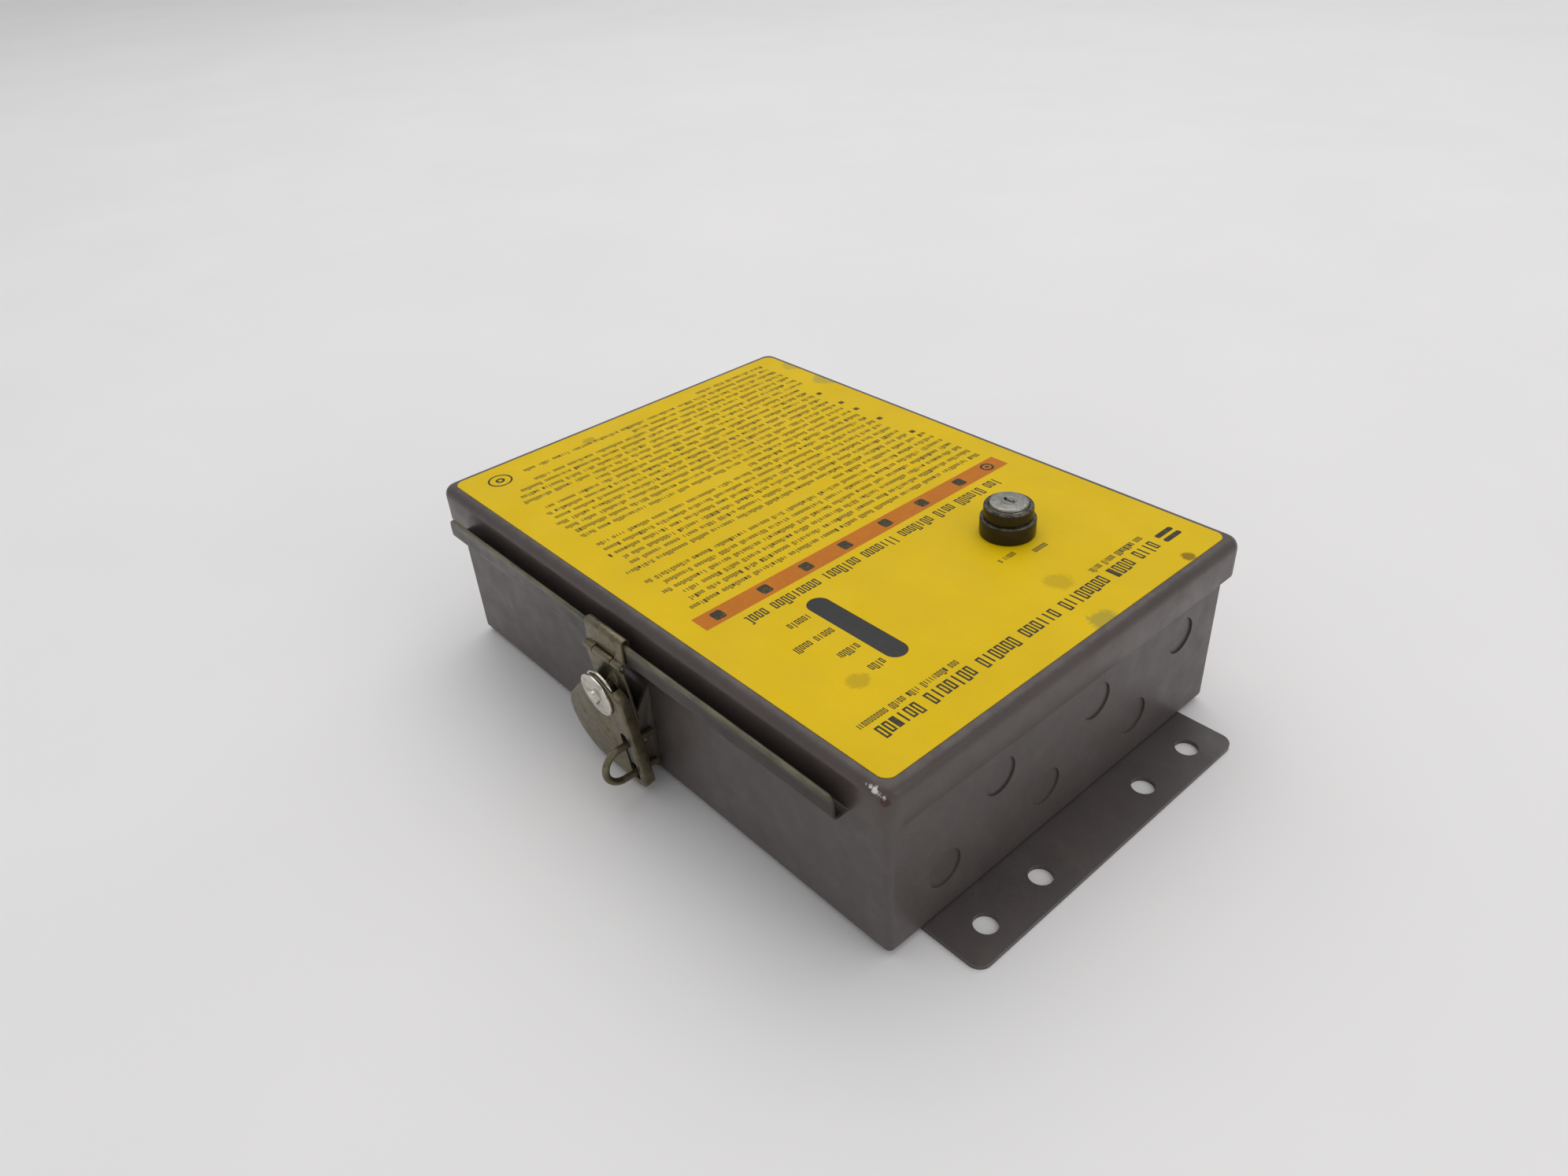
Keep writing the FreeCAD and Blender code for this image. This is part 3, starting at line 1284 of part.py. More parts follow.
def make_fuse():
    x, y = on_board(FUSE_AT)
    z = board_top + d.fuse_level
    glass = rod(x - d.fuse_length / 2, y, z, d.fuse_radius - 0.1, d.fuse_length, ALONG_X)
    caps = [
        rod(x + d.fuse_length / 2 * way - (5.5 if way > 0 else 0), y, z, d.fuse_radius, 5.5, ALONG_X)
        for way in (-1, 1)
    ]
    return settle(union([glass] + caps, "fuse"), "fuse")


def make_fuse_clips():
    """Two spring clips on a base strip that hold the fuse by its caps."""
    x, y = on_board(FUSE_AT)
    z = board_top + d.fuse_level
    base = box(x - 12, y - 4, board_top, x + 12, y + 4, board_top + 1.5)
    clips = []
    for way in (-1, 1):
        left = x + 7.5 * way - 2
        block = box(left, y - 3.3, board_top + 1, left + 4, y + 3.3, z + 1.6)
        room = rod(left, y, z, d.fuse_radius + 0.02, 4, ALONG_X)
        mouth = box(left, y - 1.9, z, left + 4, y + 1.9, z + 4)
        clips.append(minus(block, union([room, mouth])))
    return settle(union([base] + clips, "fuse_clips"), "fuse_clips")


def make_capacitors():
    cans = [
        rod(size(x), size(y), board_top, radius, d.capacitor_height * share)
        for x, y, radius, share in CAPACITORS
    ]
    return settle(group(cans, "capacitors"), "capacitors")


def make_chips():
    packages = []
    leads = 1.2
    for x, y, length, width in CHIPS:
        base = box(x, y, board_top, x + length, y + width, board_top + 0.8)
        case = box(x, y + leads, board_top, x + length, y + width - leads, board_top + d.chip_height)
        packages.append(union([base, case]))
    return settle(group(packages, "logic_chips"), "logic_chips")


def make_heat_sink():
    x, y = on_board(HEAT_SINK_AT)
    top = board_top + d.sink_height
    back = y + 3
    count = 7
    fin = 1.5
    step = (d.sink_length - fin) / (count - 1)
    base = box(x, y, board_top, x + d.sink_length, back, top)
    fins = [
        box(x + step * n, back, board_top, x + step * n + fin, back + 8, top)
        for n in range(count)
    ]
    return settle(union([base] + fins, "heat_sink"), "heat_sink")


def make_header():
    """Shrouded pin header for the lid's lamp and key leads."""
    x, y = on_board(HEADER_AT)
    rows = 2
    columns = 8
    skin = 1.2
    top = board_top + d.header_height
    shroud = box(x, y, board_top, x + d.header_length, y + d.header_width, top)
    well = box(x + skin, y + skin, board_top + 2, x + d.header_length - skin, y + d.header_width - skin, top)
    first_x = x + (d.header_length - d.header_pitch * (columns - 1) - d.header_pin) / 2
    first_y = y + (d.header_width - d.header_pitch * (rows - 1) - d.header_pin) / 2
    pins = []
    for row in range(rows):
        for column in range(columns):
            left = first_x + d.header_pitch * column
            front = first_y + d.header_pitch * row
            pins.append(box(left, front, board_top + 1.5, left + d.header_pin, front + d.header_pin, top - 1.5))
    return settle(union([minus(shroud, well)] + pins, "lead_header"), "lead_header")


def make_selector_case():
    """Slide switch housing with a window for its slider."""
    x, y = on_board(SELECTOR_AT)
    z = board_top
    half = d.selector_stroke * 2
    reach = d.selector_stroke + d.face_gap
    case = box(x - half, y - 3.5, z, x + half, y + 3.5, z + 6)
    slot = box(x - reach, y - 1.2 - d.running_gap, z + 2.5, x + reach, y + 1.2 + d.running_gap, z + 6)
    return settle(minus(case, slot, "selector_case"), "selector_case")


def make_selector_slider():
    x, y = on_board(SELECTOR_AT)
    z = board_top
    knob = box(x - d.selector_stroke, y - 1.2, z + 2.5 + d.running_gap, x, y + 1.2, z + d.selector_knob_height)
    return settle(knob, "selector_slider")


def make_ground_stud():
    x, y = on_board(GROUND_STUD_AT)
    shank = rod(x, y, floor_level, d.panel_stud_radius, d.panel_stud_top - floor_level)
    foot = rod(x, y, floor_level, d.panel_stud_foot, size(1.5))
    return settle(union([shank, foot], "ground_stud"), "ground_stud")


def make_ground_nut():
    x, y = on_board(GROUND_STUD_AT)
    level = floor_level + 1.5
    blank = hexagon(x, y, level, d.panel_nut_flats, d.panel_nut_height)
    bore = rod(x, y, level, d.panel_stud_radius, d.panel_nut_height)
    return settle(minus(blank, bore, "ground_nut"), "ground_nut")


# ---------------------------------------------------------------- build, check, write

def make_everything():
    make_box()
    make_foot(1, "mounting_foot_right")
    make_foot(-1, "mounting_foot_left")
    make_lid()
    make_gasket()
    make_label()
    make_window()
    make_box_leaf()
    make_lid_leaf()
    make_hinge_pin()
    make_latch_hook()
    make_latch_pin()
    make_strap()
    make_paddle()
    make_stud()
    make_spring()
    make_bracket()
    make_keeper_pin()
    make_staple()
    make_key_bezel()
    make_key_body()
    make_lock_core()
    make_key_washer()
    make_key_nut()
    make_contact_block()
    make_plunger()
    make_lamp_board()
    make_lamp_posts()
    make_lamp_screws()
    for index, label in enumerate(LAMPS):
        make_lamp(index, label)
    make_panel_studs()
    make_panel()
    make_panel_nuts()
    make_board_posts()
    make_board()
    make_board_screws()
    make_terminal_block(1, "input_terminals")
    make_terminal_block(-1, "output_terminals")
    make_terminal_screws()
    for label in RELAYS_AT:
        make_relay(label)
    make_transformer_core()
    make_transformer_winding()
    make_fuse()
    make_fuse_clips()
    make_capacitors()
    make_chips()
    make_heat_sink()
    make_header()
    make_selector_case()
    make_selector_slider()
    make_ground_stud()
    make_ground_nut()


def check_everything():
    """Stops if any object failed to build or any sub-part is empty or broken."""
    for thing in doc.Objects:
        if "Invalid" in thing.State or "Error" in thing.State:
            raise ValueError(f"{thing.Name} ({thing.Label}) failed: {thing.State}")
    for thing in nodes:
        shape = thing.Shape
        if shape.isNull() or not shape.isValid() or not shape.Solids:
            raise ValueError(f"{thing.Label} has no valid solid")


def write_everything():
    os.makedirs("parts", exist_ok=True)
    for thing in nodes:
        thing.Shape.exportStep(os.path.join("parts", thing.Label + ".step"))
    print(f"wrote {len(nodes)} sub-parts")


make_everything()
doc.recompute()
check_everything()
write_everything()
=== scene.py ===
"""Dresses the hinged steel controller box and sets it on a pale floor."""
import json
import math
import random

import bmesh
import bpy
from mathutils import Matrix, Vector

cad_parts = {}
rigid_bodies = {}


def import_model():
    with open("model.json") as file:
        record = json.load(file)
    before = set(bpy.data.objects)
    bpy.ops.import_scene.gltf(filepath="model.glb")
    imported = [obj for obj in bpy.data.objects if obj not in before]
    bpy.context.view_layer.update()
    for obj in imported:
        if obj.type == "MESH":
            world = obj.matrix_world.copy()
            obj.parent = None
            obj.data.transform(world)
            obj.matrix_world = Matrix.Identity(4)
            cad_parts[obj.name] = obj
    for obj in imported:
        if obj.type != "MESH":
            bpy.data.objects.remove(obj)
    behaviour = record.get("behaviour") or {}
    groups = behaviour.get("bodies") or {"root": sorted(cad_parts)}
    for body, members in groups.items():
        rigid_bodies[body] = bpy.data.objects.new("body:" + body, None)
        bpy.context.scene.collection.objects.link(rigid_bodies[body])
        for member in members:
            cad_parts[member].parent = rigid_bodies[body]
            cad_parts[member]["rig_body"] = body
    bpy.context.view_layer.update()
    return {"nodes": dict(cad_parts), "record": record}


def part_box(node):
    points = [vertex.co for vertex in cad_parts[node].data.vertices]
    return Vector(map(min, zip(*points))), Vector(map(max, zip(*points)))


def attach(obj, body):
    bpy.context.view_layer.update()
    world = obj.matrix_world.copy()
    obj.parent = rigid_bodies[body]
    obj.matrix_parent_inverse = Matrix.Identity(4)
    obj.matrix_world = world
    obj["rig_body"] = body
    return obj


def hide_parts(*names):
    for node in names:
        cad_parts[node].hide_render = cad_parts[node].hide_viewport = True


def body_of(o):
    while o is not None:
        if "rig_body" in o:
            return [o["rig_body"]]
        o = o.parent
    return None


bl_info = {
    "name": "Controller box",
    "version": (1, 0, 0),
    "blender": (4, 5, 0),
    "location": "View3D > Sidebar > Controller box",
    "description": "Label print, latch, key switch, board parts and finishes of a controller box",
    "category": "Object",
}

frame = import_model()

MM = 0.001
LABEL_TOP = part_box("front_label")[1].z
KEY_LOW, KEY_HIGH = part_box("key_bezel")
KEY_AXIS = (KEY_LOW + KEY_HIGH) / 2
LID_LOW, LID_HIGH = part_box("lid_cover")

# Levels in metres: the foot of the lid's skirt, how far the painted shadow under the skirt reaches
# below it, and the rolled lip along the latch side.
SKIRT_FOOT = 0.0605
SKIRT_SHADOW_DEPTH = 0.0045
LIP_FOOT, LIP_TOP = 0.0642, 0.0680

# In degrees: edges that turn by more than the first are corners, to be rounded and shaded as such.
# Facets that turn by less than the second are one flat face.
SHARP_EDGE = 35
FLAT_FACE = 0.6

# Points closer than this, in metres, are one point.
SAME_POINT = 2e-6

# Print stands this far above the label and reaches this far into it, in millimetres.
PRINT_LIFT, PRINT_SINK = 0.03, 0.03

# Marks of any printed row: columns to a mark, and the shares that are slim, solid or upright.
COLUMNS = 4
SLIM_SHARE, SOLID_SHARE, UPRIGHT_SHARE = 0.20, 0.07, 0.3

# Rows of the small print, counted from the top. Places along Y are in millimetres.
ROW_START, INDENTED_START, ROW_END = 76.8, 70.5, -76.5
FIRST_INDENTED, LAST_INDENTED = 7, 21
BULLETED_ROWS = (7, 11, 14, 16, 19)
PARAGRAPH_ENDS = {6: 22, 13: 6, 21: -44, 26: -8, 28: 36}
BULLET_SIDES = (73.0, 75.4)
MARK_WIDTH = 0.36
SMALL_TALL, SMALL_STROKE = 0.4, 0.17
# Rows below this X stop short of the ring in the corner. Both are in metres.
CORNER_X, CORNER_END = -0.104, -0.062

# Larger rows: X, then start and end along Y, in millimetres.
HEADING = (107.4, 66.3, -78.4)
TITLE = (36.9, 64.9, -65.6)
CONTACT_LINES = ((102.9, 66.3, 36.1), (102.9, -33.7, -77.6))
CONTACT_HEIGHT = 2.2
KEY_NAMES = ((80.8, 40.4, 33.3), (76.4, 27.9, 19.1))
KEY_NAME_HEIGHT = 2.1
CAPTION_START = -48.9
CAPTIONS = ((50.5, -58.9), (61.8, -65.6), (73.8, -57.6), (85.2, -55.9))
LARGE_MARK, LARGE_STROKE = 0.145, 0.14

# Plain marks in millimetres: the two bars by the heading, the corner rings, the marks on the band.
BARS = (((107.0, 70.2), (109.2, 79.6)), ((110.6, 70.2), (112.8, 79.6)))
CORNER_RING, CORNER_RADII = (-113.4, -72.6), ((5.2, 4.4), (2.0, 0.9))
BAND_ENDS = (-78.4, 78.8)
BAND_RING_Y, BAND_RADII = 70.8, ((2.9, 1.9), (0.9, 0.2))
BAND_MARKS_Y = (53.8, 31.9, 11.6, -9.6, -29.2, -48.9, -70.1)
BAND_MARGIN, BAND_MARK_HALF = 1.8, 2.3

# The stage: metres, the light's colour, the side lamp's share of the overhead lamp's power, and the
# camera's sensor in millimetres.
FLOOR_SIZE = 8
SKY_COLOUR = (0.94, 0.96, 1.0, 1)
SIDE_SHARE = 0.16
SENSOR_WIDTH = 36

# A Wave texture of this scale makes one stripe per unit.
WAVE_SCALE = 0.314

# Inputs and output of a colour Mix node.
MIX_SHARE, MIX_FIRST, MIX_SECOND, MIX_RESULT = 0, 6, 7, 2


def srgb(red, green, blue):
    """Linear colour of a paint chip given in 0-255 steps."""
    def linear(step):
        share = step / 255
        return share / 12.92 if share <= 0.04045 else ((share + 0.055) / 1.055) ** 2.4
    return linear(red), linear(green), linear(blue)


def colour_prop(name, description, chip):
    """A colour setting whose default is a paint chip."""
    return bpy.props.FloatVectorProperty(
        name=name, description=description, subtype="COLOR", size=3, min=0, max=1,
        default=srgb(*chip)
    )


def length_prop(name, description, millimetres):
    """A length setting whose default is given in millimetres."""
    return bpy.props.FloatProperty(
        name=name, description=description, unit="LENGTH", subtype="DISTANCE",
        default=millimetres * MM, min=0
    )


class BoxColours(bpy.types.PropertyGroup):
    """Colours that differ from one make of box to the next."""
    enamel: colour_prop("Enamel", "Brown-grey enamel of the box and its feet", (81, 74, 71))
    lid_enamel: colour_prop("Lid enamel", "Enamel of the lid", (76, 66, 62))
    label: colour_prop("Label", "Yellow face of the label", (240, 200, 0))
    band: colour_prop("Band", "Orange band across the label", (206, 118, 24))
    ink: colour_prop("Ink", "Ink of the printed rows", (66, 60, 44))
    window: colour_prop("Window", "Smoked lamp window", (30, 29, 28))
    latch: colour_prop("Latch", "Plated steel of the latch", (122, 114, 92))


class LabelLayout(bpy.types.PropertyGroup):
    """Sizes of what is printed on the face label."""
    notes_top: length_prop("First row", "Highest row of the small print, from the middle", 18.0)
    notes_pitch: length_prop("Row pitch", "Distance between rows of the small print", 4.9)
    notes_height: length_prop("Small height", "Height of a mark in the small print", 1.75)
    notes_rows: bpy.props.IntProperty(
        name="Rows", description="Rows of small print", default=29, min=1, max=40
    )
    title_height: length_prop("Title height", "Height of the title's marks", 4.2)
    heading_height: length_prop("Heading height", "Height of the heading's marks", 5.2)
    caption_height: length_prop("Caption height", "Height of the lamp captions", 2.8)
    band_low: length_prop("Band foot", "Lower side of the band, from the middle", 24.8)
    band_high: length_prop("Band head", "Upper side of the band, from the middle", 33.5)
    seed: bpy.props.IntProperty(name="Seed", description="Rhythm of the printed rows", default=7)


class StageSetup(bpy.types.PropertyGroup):
    """Floor, lamps and camera."""
    floor: colour_prop("Floor", "Pale floor", (253, 250, 247))
    sky: bpy.props.FloatProperty(
        name="Fill", description="Strength of the light all round", default=0.52
    )
    lamp: bpy.props.FloatProperty(
        name="Overhead lamp", description="Power of the soft overhead lamp", unit="POWER",
        default=25.0
    )
    stand: bpy.props.FloatVectorProperty(
        name="Camera place", description="Where the camera stands", subtype="TRANSLATION",
        default=(0.28535, -0.25101, 0.29825)
    )
    aim: bpy.props.FloatVectorProperty(
        name="Camera direction", description="Which way the camera looks", subtype="DIRECTION",
        default=(-0.6376, 0.5245, -0.5643)
    )
    crown: bpy.props.FloatVectorProperty(
        name="Camera up", description="Which way is up in the view", subtype="DIRECTION",
        default=(-0.3881, 0.4140, 0.8234)
    )
    lens: bpy.props.FloatProperty(
        name="Lens", description="Focal length on a 36 mm wide sensor", subtype="DISTANCE_CAMERA",
        default=25.89
    )


class BoxSettings(bpy.types.PropertyGroup):
    """Everything that a designer may set on the box."""
    colours: bpy.props.PointerProperty(type=BoxColours)
    label: bpy.props.PointerProperty(type=LabelLayout)
    stage: bpy.props.PointerProperty(type=StageSetup)


def settings():
    """The scene's settings of the box."""
    return bpy.context.scene.controller_box


# Finishes. Sizes given to a Finish are in millimetres.


class Finish:
    """A procedural material while it is being wired."""

    def __init__(self, name, colour, roughness, metallic=0.0, **sockets):
        self.material = bpy.data.materials.new(name)
        self.material.use_nodes = True
        tree = self.material.node_tree
        self.nodes, self.links = tree.nodes, tree.links
        self.shader = next(node for node in self.nodes if node.type == "BSDF_PRINCIPLED")
        self.colour = colour
        self.shader.inputs["Base Color"].default_value = (*colour, 1)
        self.shader.inputs["Roughness"].default_value = roughness
        self.shader.inputs["Metallic"].default_value = metallic
        for socket, value in sockets.items():
            self.shader.inputs[socket.replace("_", " ")].default_value = value
        self.place = self.nodes.new("ShaderNodeTexCoord").outputs["Object"]
        self.relief = None

    def feed(self, node, socket, value):
        """Links a socket, or sets it where the value is plain."""
        target = node.inputs[socket]
        if isinstance(value, bpy.types.NodeSocket):
            self.links.new(value, target)
        elif isinstance(value, tuple) and len(value) == 3 and target.type == "RGBA":
            target.default_value = (*value, 1)
        else:
            target.default_value = value

    def noise(self, size, detail, stretch=(1, 1, 1), shift=0.0, roughness=0.55):
        """Soft random clouds, 0 to 1, of a size in millimetres."""
        mapping = self.nodes.new("ShaderNodeMapping")
        mapping.inputs["Scale"].default_value = stretch
        mapping.inputs["Location"].default_value = (shift, shift, shift)
        self.links.new(self.place, mapping.inputs["Vector"])
        node = self.nodes.new("ShaderNodeTexNoise")
        node.inputs["Scale"].default_value = 1 / (size * MM)
        node.inputs["Detail"].default_value = detail
        node.inputs["Roughness"].default_value = roughness
        self.links.new(mapping.outputs["Vector"], node.inputs["Vector"])
        return node.outputs["Fac"]

    def cells(self, size, feature="F1", stretch=(1, 1, 1)):
        """Distance inside random cells of a size in millimetres."""
        mapping = self.nodes.new("ShaderNodeMapping")
        mapping.inputs["Scale"].default_value = stretch
        self.links.new(self.place, mapping.inputs["Vector"])
        node = self.nodes.new("ShaderNodeTexVoronoi")
        node.feature = feature
        node.inputs["Scale"].default_value = 1 / (size * MM)
        self.links.new(mapping.outputs["Vector"], node.inputs["Vector"])
        return node.outputs["Distance"]

    def stripes(self, size, axis="X"):
        """Stripes across an axis, one in each size in millimetres."""
        node = self.nodes.new("ShaderNodeTexWave")
        node.bands_direction = axis
        node.inputs["Scale"].default_value = WAVE_SCALE / (size * MM)
        self.links.new(self.place, node.inputs["Vector"])
        return node.outputs["Fac"]

    def along(self, axis):
        """Distance along one axis, in metres."""
        node = self.nodes.new("ShaderNodeSeparateXYZ")
        self.links.new(self.place, node.inputs["Vector"])
        return node.outputs[axis]

    def span(self, value, low, high, first=0.0, last=1.0, soft=False):
        """Turns low to high into first to last, and holds it beyond them."""
        node = self.nodes.new("ShaderNodeMapRange")
        node.interpolation_type = "SMOOTHSTEP" if soft else "LINEAR"
        for socket, item in (("Value", value), ("From Min", low), ("From Max", high),
                             ("To Min", first), ("To Max", last)):
            self.feed(node, socket, item)
        return node.outputs["Result"]

    def calc(self, operation, first, second):
        """One step of arithmetic, such as MULTIPLY or MAXIMUM."""
        node = self.nodes.new("ShaderNodeMath")
        node.operation = operation
        self.feed(node, 0, first)
        self.feed(node, 1, second)
        return node.outputs["Value"]

    def spot(self, centre, radius, ragged, grain):
        """1 inside a ragged spot round a place in millimetres, 0 outside it."""
        node = self.nodes.new("ShaderNodeVectorMath")
        node.operation = "DISTANCE"
        self.links.new(self.place, node.inputs[0])
        node.inputs[1].default_value = tuple(value * MM for value in centre)
        grit = self.noise(grain, 5.0, roughness=0.7)
        wander = self.calc("MULTIPLY", grit, radius * ragged * 2 * MM)
        reach = self.calc("ADD", node.outputs["Value"], wander)
        edge = radius * (1 + ragged) * MM
        return self.span(reach, edge * 1.1, edge * 0.85, soft=True)

    def blend(self, share, first, second):
        """The first colour where share is 0, the second where it is 1."""
        node = self.nodes.new("ShaderNodeMix")
        node.data_type = "RGBA"
        self.feed(node, MIX_SHARE, share)
        self.feed(node, MIX_FIRST, first)
        self.feed(node, MIX_SECOND, second)
        return node.outputs[MIX_RESULT]

    def shade(self, factor):
        """The finish's own colour, lighter or darker."""
        return tuple(min(1.0, channel * factor) for channel in self.colour)

    def mottle(self, size, depth):
        """Light and dark clouds of the finish's own colour."""
        share = self.span(self.noise(size, 4.0), 0.32, 0.68)
        return self.blend(share, self.shade(1 - depth), self.shade(1 + depth))

    def cover(self, layer, share, tint, strength=1.0):
        """Lays a tint over a layer where share is 1, as strongly as strength says."""
        if strength != 1.0:
            share = self.calc("MULTIPLY", share, strength)
        return self.blend(share, layer, tint)

    def paint(self, colour):
        """Gives the surface its colour."""
        self.links.new(colour, self.shader.inputs["Base Color"])

    def gloss(self, value, low, high):
        """Roughness that wanders between two values."""
        self.links.new(self.span(value, 0.3, 0.7, low, high), self.shader.inputs["Roughness"])

    def bump(self, height, depth, strength):
        """Adds relief of a depth in millimetres to any relief before it."""
        node = self.nodes.new("ShaderNodeBump")
        node.inputs["Strength"].default_value = strength
        node.inputs["Distance"].default_value = depth * MM
        self.links.new(height, node.inputs["Height"])
        if self.relief is not None:
            self.links.new(self.relief, node.inputs["Normal"])
        self.relief = node.outputs["Normal"]
        self.links.new(self.relief, self.shader.inputs["Normal"])


def box_enamel(name, colour, sheltered=None):
    """Semi-gloss enamel with orange peel, a sandy speckle and dusty patches.

    A painted shadow darkens the enamel from the sheltered level, which is the foot of the lid's
    skirt, and fades out a little below it.
    """
    finish = Finish(name, colour, 0.42, Specular_IOR_Level=0.5)
    clouds = finish.mottle(38, 0.10)
    speckle = finish.span(finish.noise(0.7, 2.0), 0.40, 0.72)
    speckled = finish.cover(clouds, speckle, finish.shade(1.45), 0.4)
    if sheltered is not None:
        # Painted shadow under the lid's skirt, darkest at the skirt's foot.
        skirt_shadow = finish.span(finish.along("Z"), sheltered - SKIRT_SHADOW_DEPTH, sheltered, soft=True)
        speckled = finish.cover(speckled, skirt_shadow, finish.shade(0.35), 0.55)
    dust = finish.span(finish.noise(14, 5.0, shift=4.0), 0.55, 0.80)
    finish.paint(finish.cover(speckled, dust, srgb(118, 110, 104), 0.25))
    finish.gloss(finish.noise(9, 3.0), 0.34, 0.50)
    finish.bump(finish.noise(1.4, 2.0), 0.05, 0.55)
    finish.bump(finish.noise(0.35, 2.0), 0.02, 0.35)
    return finish


def lid_finish():
    """The lid's enamel, chipped to the primer at one corner and rubbed along its lip, whose outer
    face also carries painted shade and a painted highlight.
    """
    colour = tuple(settings().colours.lid_enamel)
    finish = Finish("lid enamel", colour, 0.36, Specular_IOR_Level=0.5)
    clouds = finish.mottle(30, 0.12)
    speckle = finish.span(finish.noise(0.7, 2.0), 0.40, 0.72)
    layer = finish.cover(clouds, speckle, finish.shade(1.45), 0.36)
    depth = finish.along("Y")
    height = finish.along("Z")
    lip_edge = finish.calc(
        "MULTIPLY",
        finish.span(depth, LID_LOW.y + 0.0022, LID_LOW.y, soft=True),
        finish.span(height, LIP_TOP - 0.0025, LIP_TOP - 0.0004, soft=True),
    )
    # The rolled lip's outer face keeps its own brownish rubbed tint. Painted shade makes it darker
    # towards its foot, a painted highlight makes it lighter towards its crest, and streaks break it
    # up.
    lip = finish.span(depth, LID_LOW.y + 0.0058, LID_LOW.y + 0.0030, soft=True)
    lip_shade_ramp = finish.span(height, LIP_FOOT, LIP_TOP)
    streak = finish.span(finish.noise(3.0, 5.0, stretch=(0.12, 1, 1), shift=5.0), 0.35, 0.65)
    rolled = finish.blend(
        finish.calc("MULTIPLY", lip_shade_ramp, streak), srgb(34, 28, 22), srgb(102, 94, 62)
    )
    layer = finish.cover(layer, lip, rolled, 0.98)
    patches = finish.span(finish.noise(6, 5.0, stretch=(0.5, 1, 1)), 0.38, 0.62)
    worn = finish.calc("MULTIPLY", lip_edge, patches)
    layer = finish.cover(layer, worn, srgb(108, 104, 80))
    shoulder = finish.span(height, LID_HIGH.z - 0.0010, LID_HIGH.z, soft=True)
    strokes = finish.span(finish.noise(5, 5.0, shift=2.0), 0.40, 0.62)
    lightened_edge = finish.calc("MULTIPLY", shoulder, strokes)
    layer = finish.cover(layer, lightened_edge, srgb(108, 100, 94), 0.35)
    rust = finish.spot((128.6, -91.9, 71.4), 2.0, 0.9, 3.0)
    layer = finish.cover(layer, rust, srgb(62, 22, 20), 0.9)
    chips = (
        ((120.8, -91.7, 74.2), 0.6), ((122.4, -91.6, 74.3), 0.7),
        ((126.2, -91.7, 73.7), 0.9), ((128.0, -91.6, 73.3), 0.9),
    )
    bare = finish.spot((124.4, -91.6, 74.1), 1.2, 1.9, 2.0)
    for centre, radius in chips:
        bare = finish.calc("MAXIMUM", bare, finish.spot(centre, radius, 2.2, 1.5))
    finish.paint(finish.cover(layer, bare, srgb(226, 220, 212)))
    finish.gloss(finish.noise(9, 3.0), 0.28, 0.44)
    finish.bump(finish.noise(1.6, 2.0), 0.05, 0.5)
    finish.bump(bare, -0.12, 0.8)
    return finish


def label_finish():
    """Printed vinyl: fine grain, faint clouds, specks of dirt and a few stains."""
    colour = tuple(settings().colours.label)
    finish = Finish("label vinyl", colour, 0.5, Specular_IOR_Level=0.18)
    layer = finish.mottle(26, 0.04)
    grain = finish.span(finish.noise(0.5, 2.0), 0.35, 0.65)
    layer = finish.cover(layer, grain, finish.shade(0.78), 0.14)
    top = LABEL_TOP / MM
    for centre, radius, tint, strength in (
        ((123, 67, top), 2.6, (120, 84, 20), 0.75),
        ((125, 16, top), 6.0, (96, 116, 66), 0.45),
        ((100, 24, top), 5.0, (150, 118, 16), 0.30),
        ((88, -62, top), 4.0, (140, 112, 22), 0.35),
        ((-116, -26, top), 3.0, (130, 100, 30), 0.40),
        ((-84, 89, top), 7.0, (96, 122, 96), 0.35),
        ((-108, 88, top), 5.0, (96, 122, 96), 0.30),
    ):
        stain = finish.spot(centre, radius, 0.8, 3.5)
        layer = finish.cover(layer, stain, srgb(*tint), strength)
    dirt = finish.span(finish.noise(2.2, 6.0, shift=3.0, roughness=0.7), 0.70, 0.80)
    finish.paint(finish.cover(layer, dirt, srgb(120, 96, 24), 0.5))
    finish.gloss(finish.noise(18, 4.0), 0.44, 0.60)
    finish.bump(finish.noise(0.6, 2.0), 0.02, 0.35)
    finish.bump(finish.noise(30, 2.0), 0.5, 0.10)
    return finish


def ink_finish(name, colour, wear=0.2):
    """Screen ink, thin enough here and there for the label to show."""
    finish = Finish(name, colour, 0.5, Specular_IOR_Level=0.18)
    thin = finish.span(finish.noise(1.1, 4.0), 0.52, 0.75)
    clouds = finish.mottle(20, 0.06)
    finish.paint(finish.cover(clouds, thin, tuple(settings().colours.label), wear))
    finish.bump(finish.noise(0.4, 2.0), 0.01, 0.3)
    return finish


def worn_metal(name, colour, dark, roughness=(0.30, 0.48), grain=3.0, metallic=0.85, depth=0.03):
    """Plated metal with darker blotches and a fine grain."""
    finish = Finish(name, colour, sum(roughness) / 2, metallic)
    layer = finish.mottle(grain * 3, 0.10)
    blotch = finish.span(finish.noise(grain, 5.0, roughness=0.65), 0.48, 0.72)
    layer = finish.cover(layer, blotch, dark, 0.7)
    finish.paint(layer)
    finish.gloss(finish.noise(grain * 0.8, 4.0, shift=1.5), *roughness)
    finish.bump(finish.noise(grain * 0.3, 3.0), depth, 0.5)
    return finish


def moulded(name, colour, roughness=0.42):
    """Moulded plastic with a spark-eroded grain and slight flow clouds."""
    finish = Finish(name, colour, roughness)
    finish.paint(finish.mottle(9, 0.07))
    finish.gloss(finish.noise(4, 3.0), roughness - 0.06, roughness + 0.08)
    finish.bump(finish.noise(0.7, 2.0), 0.015, 0.4)
    return finish


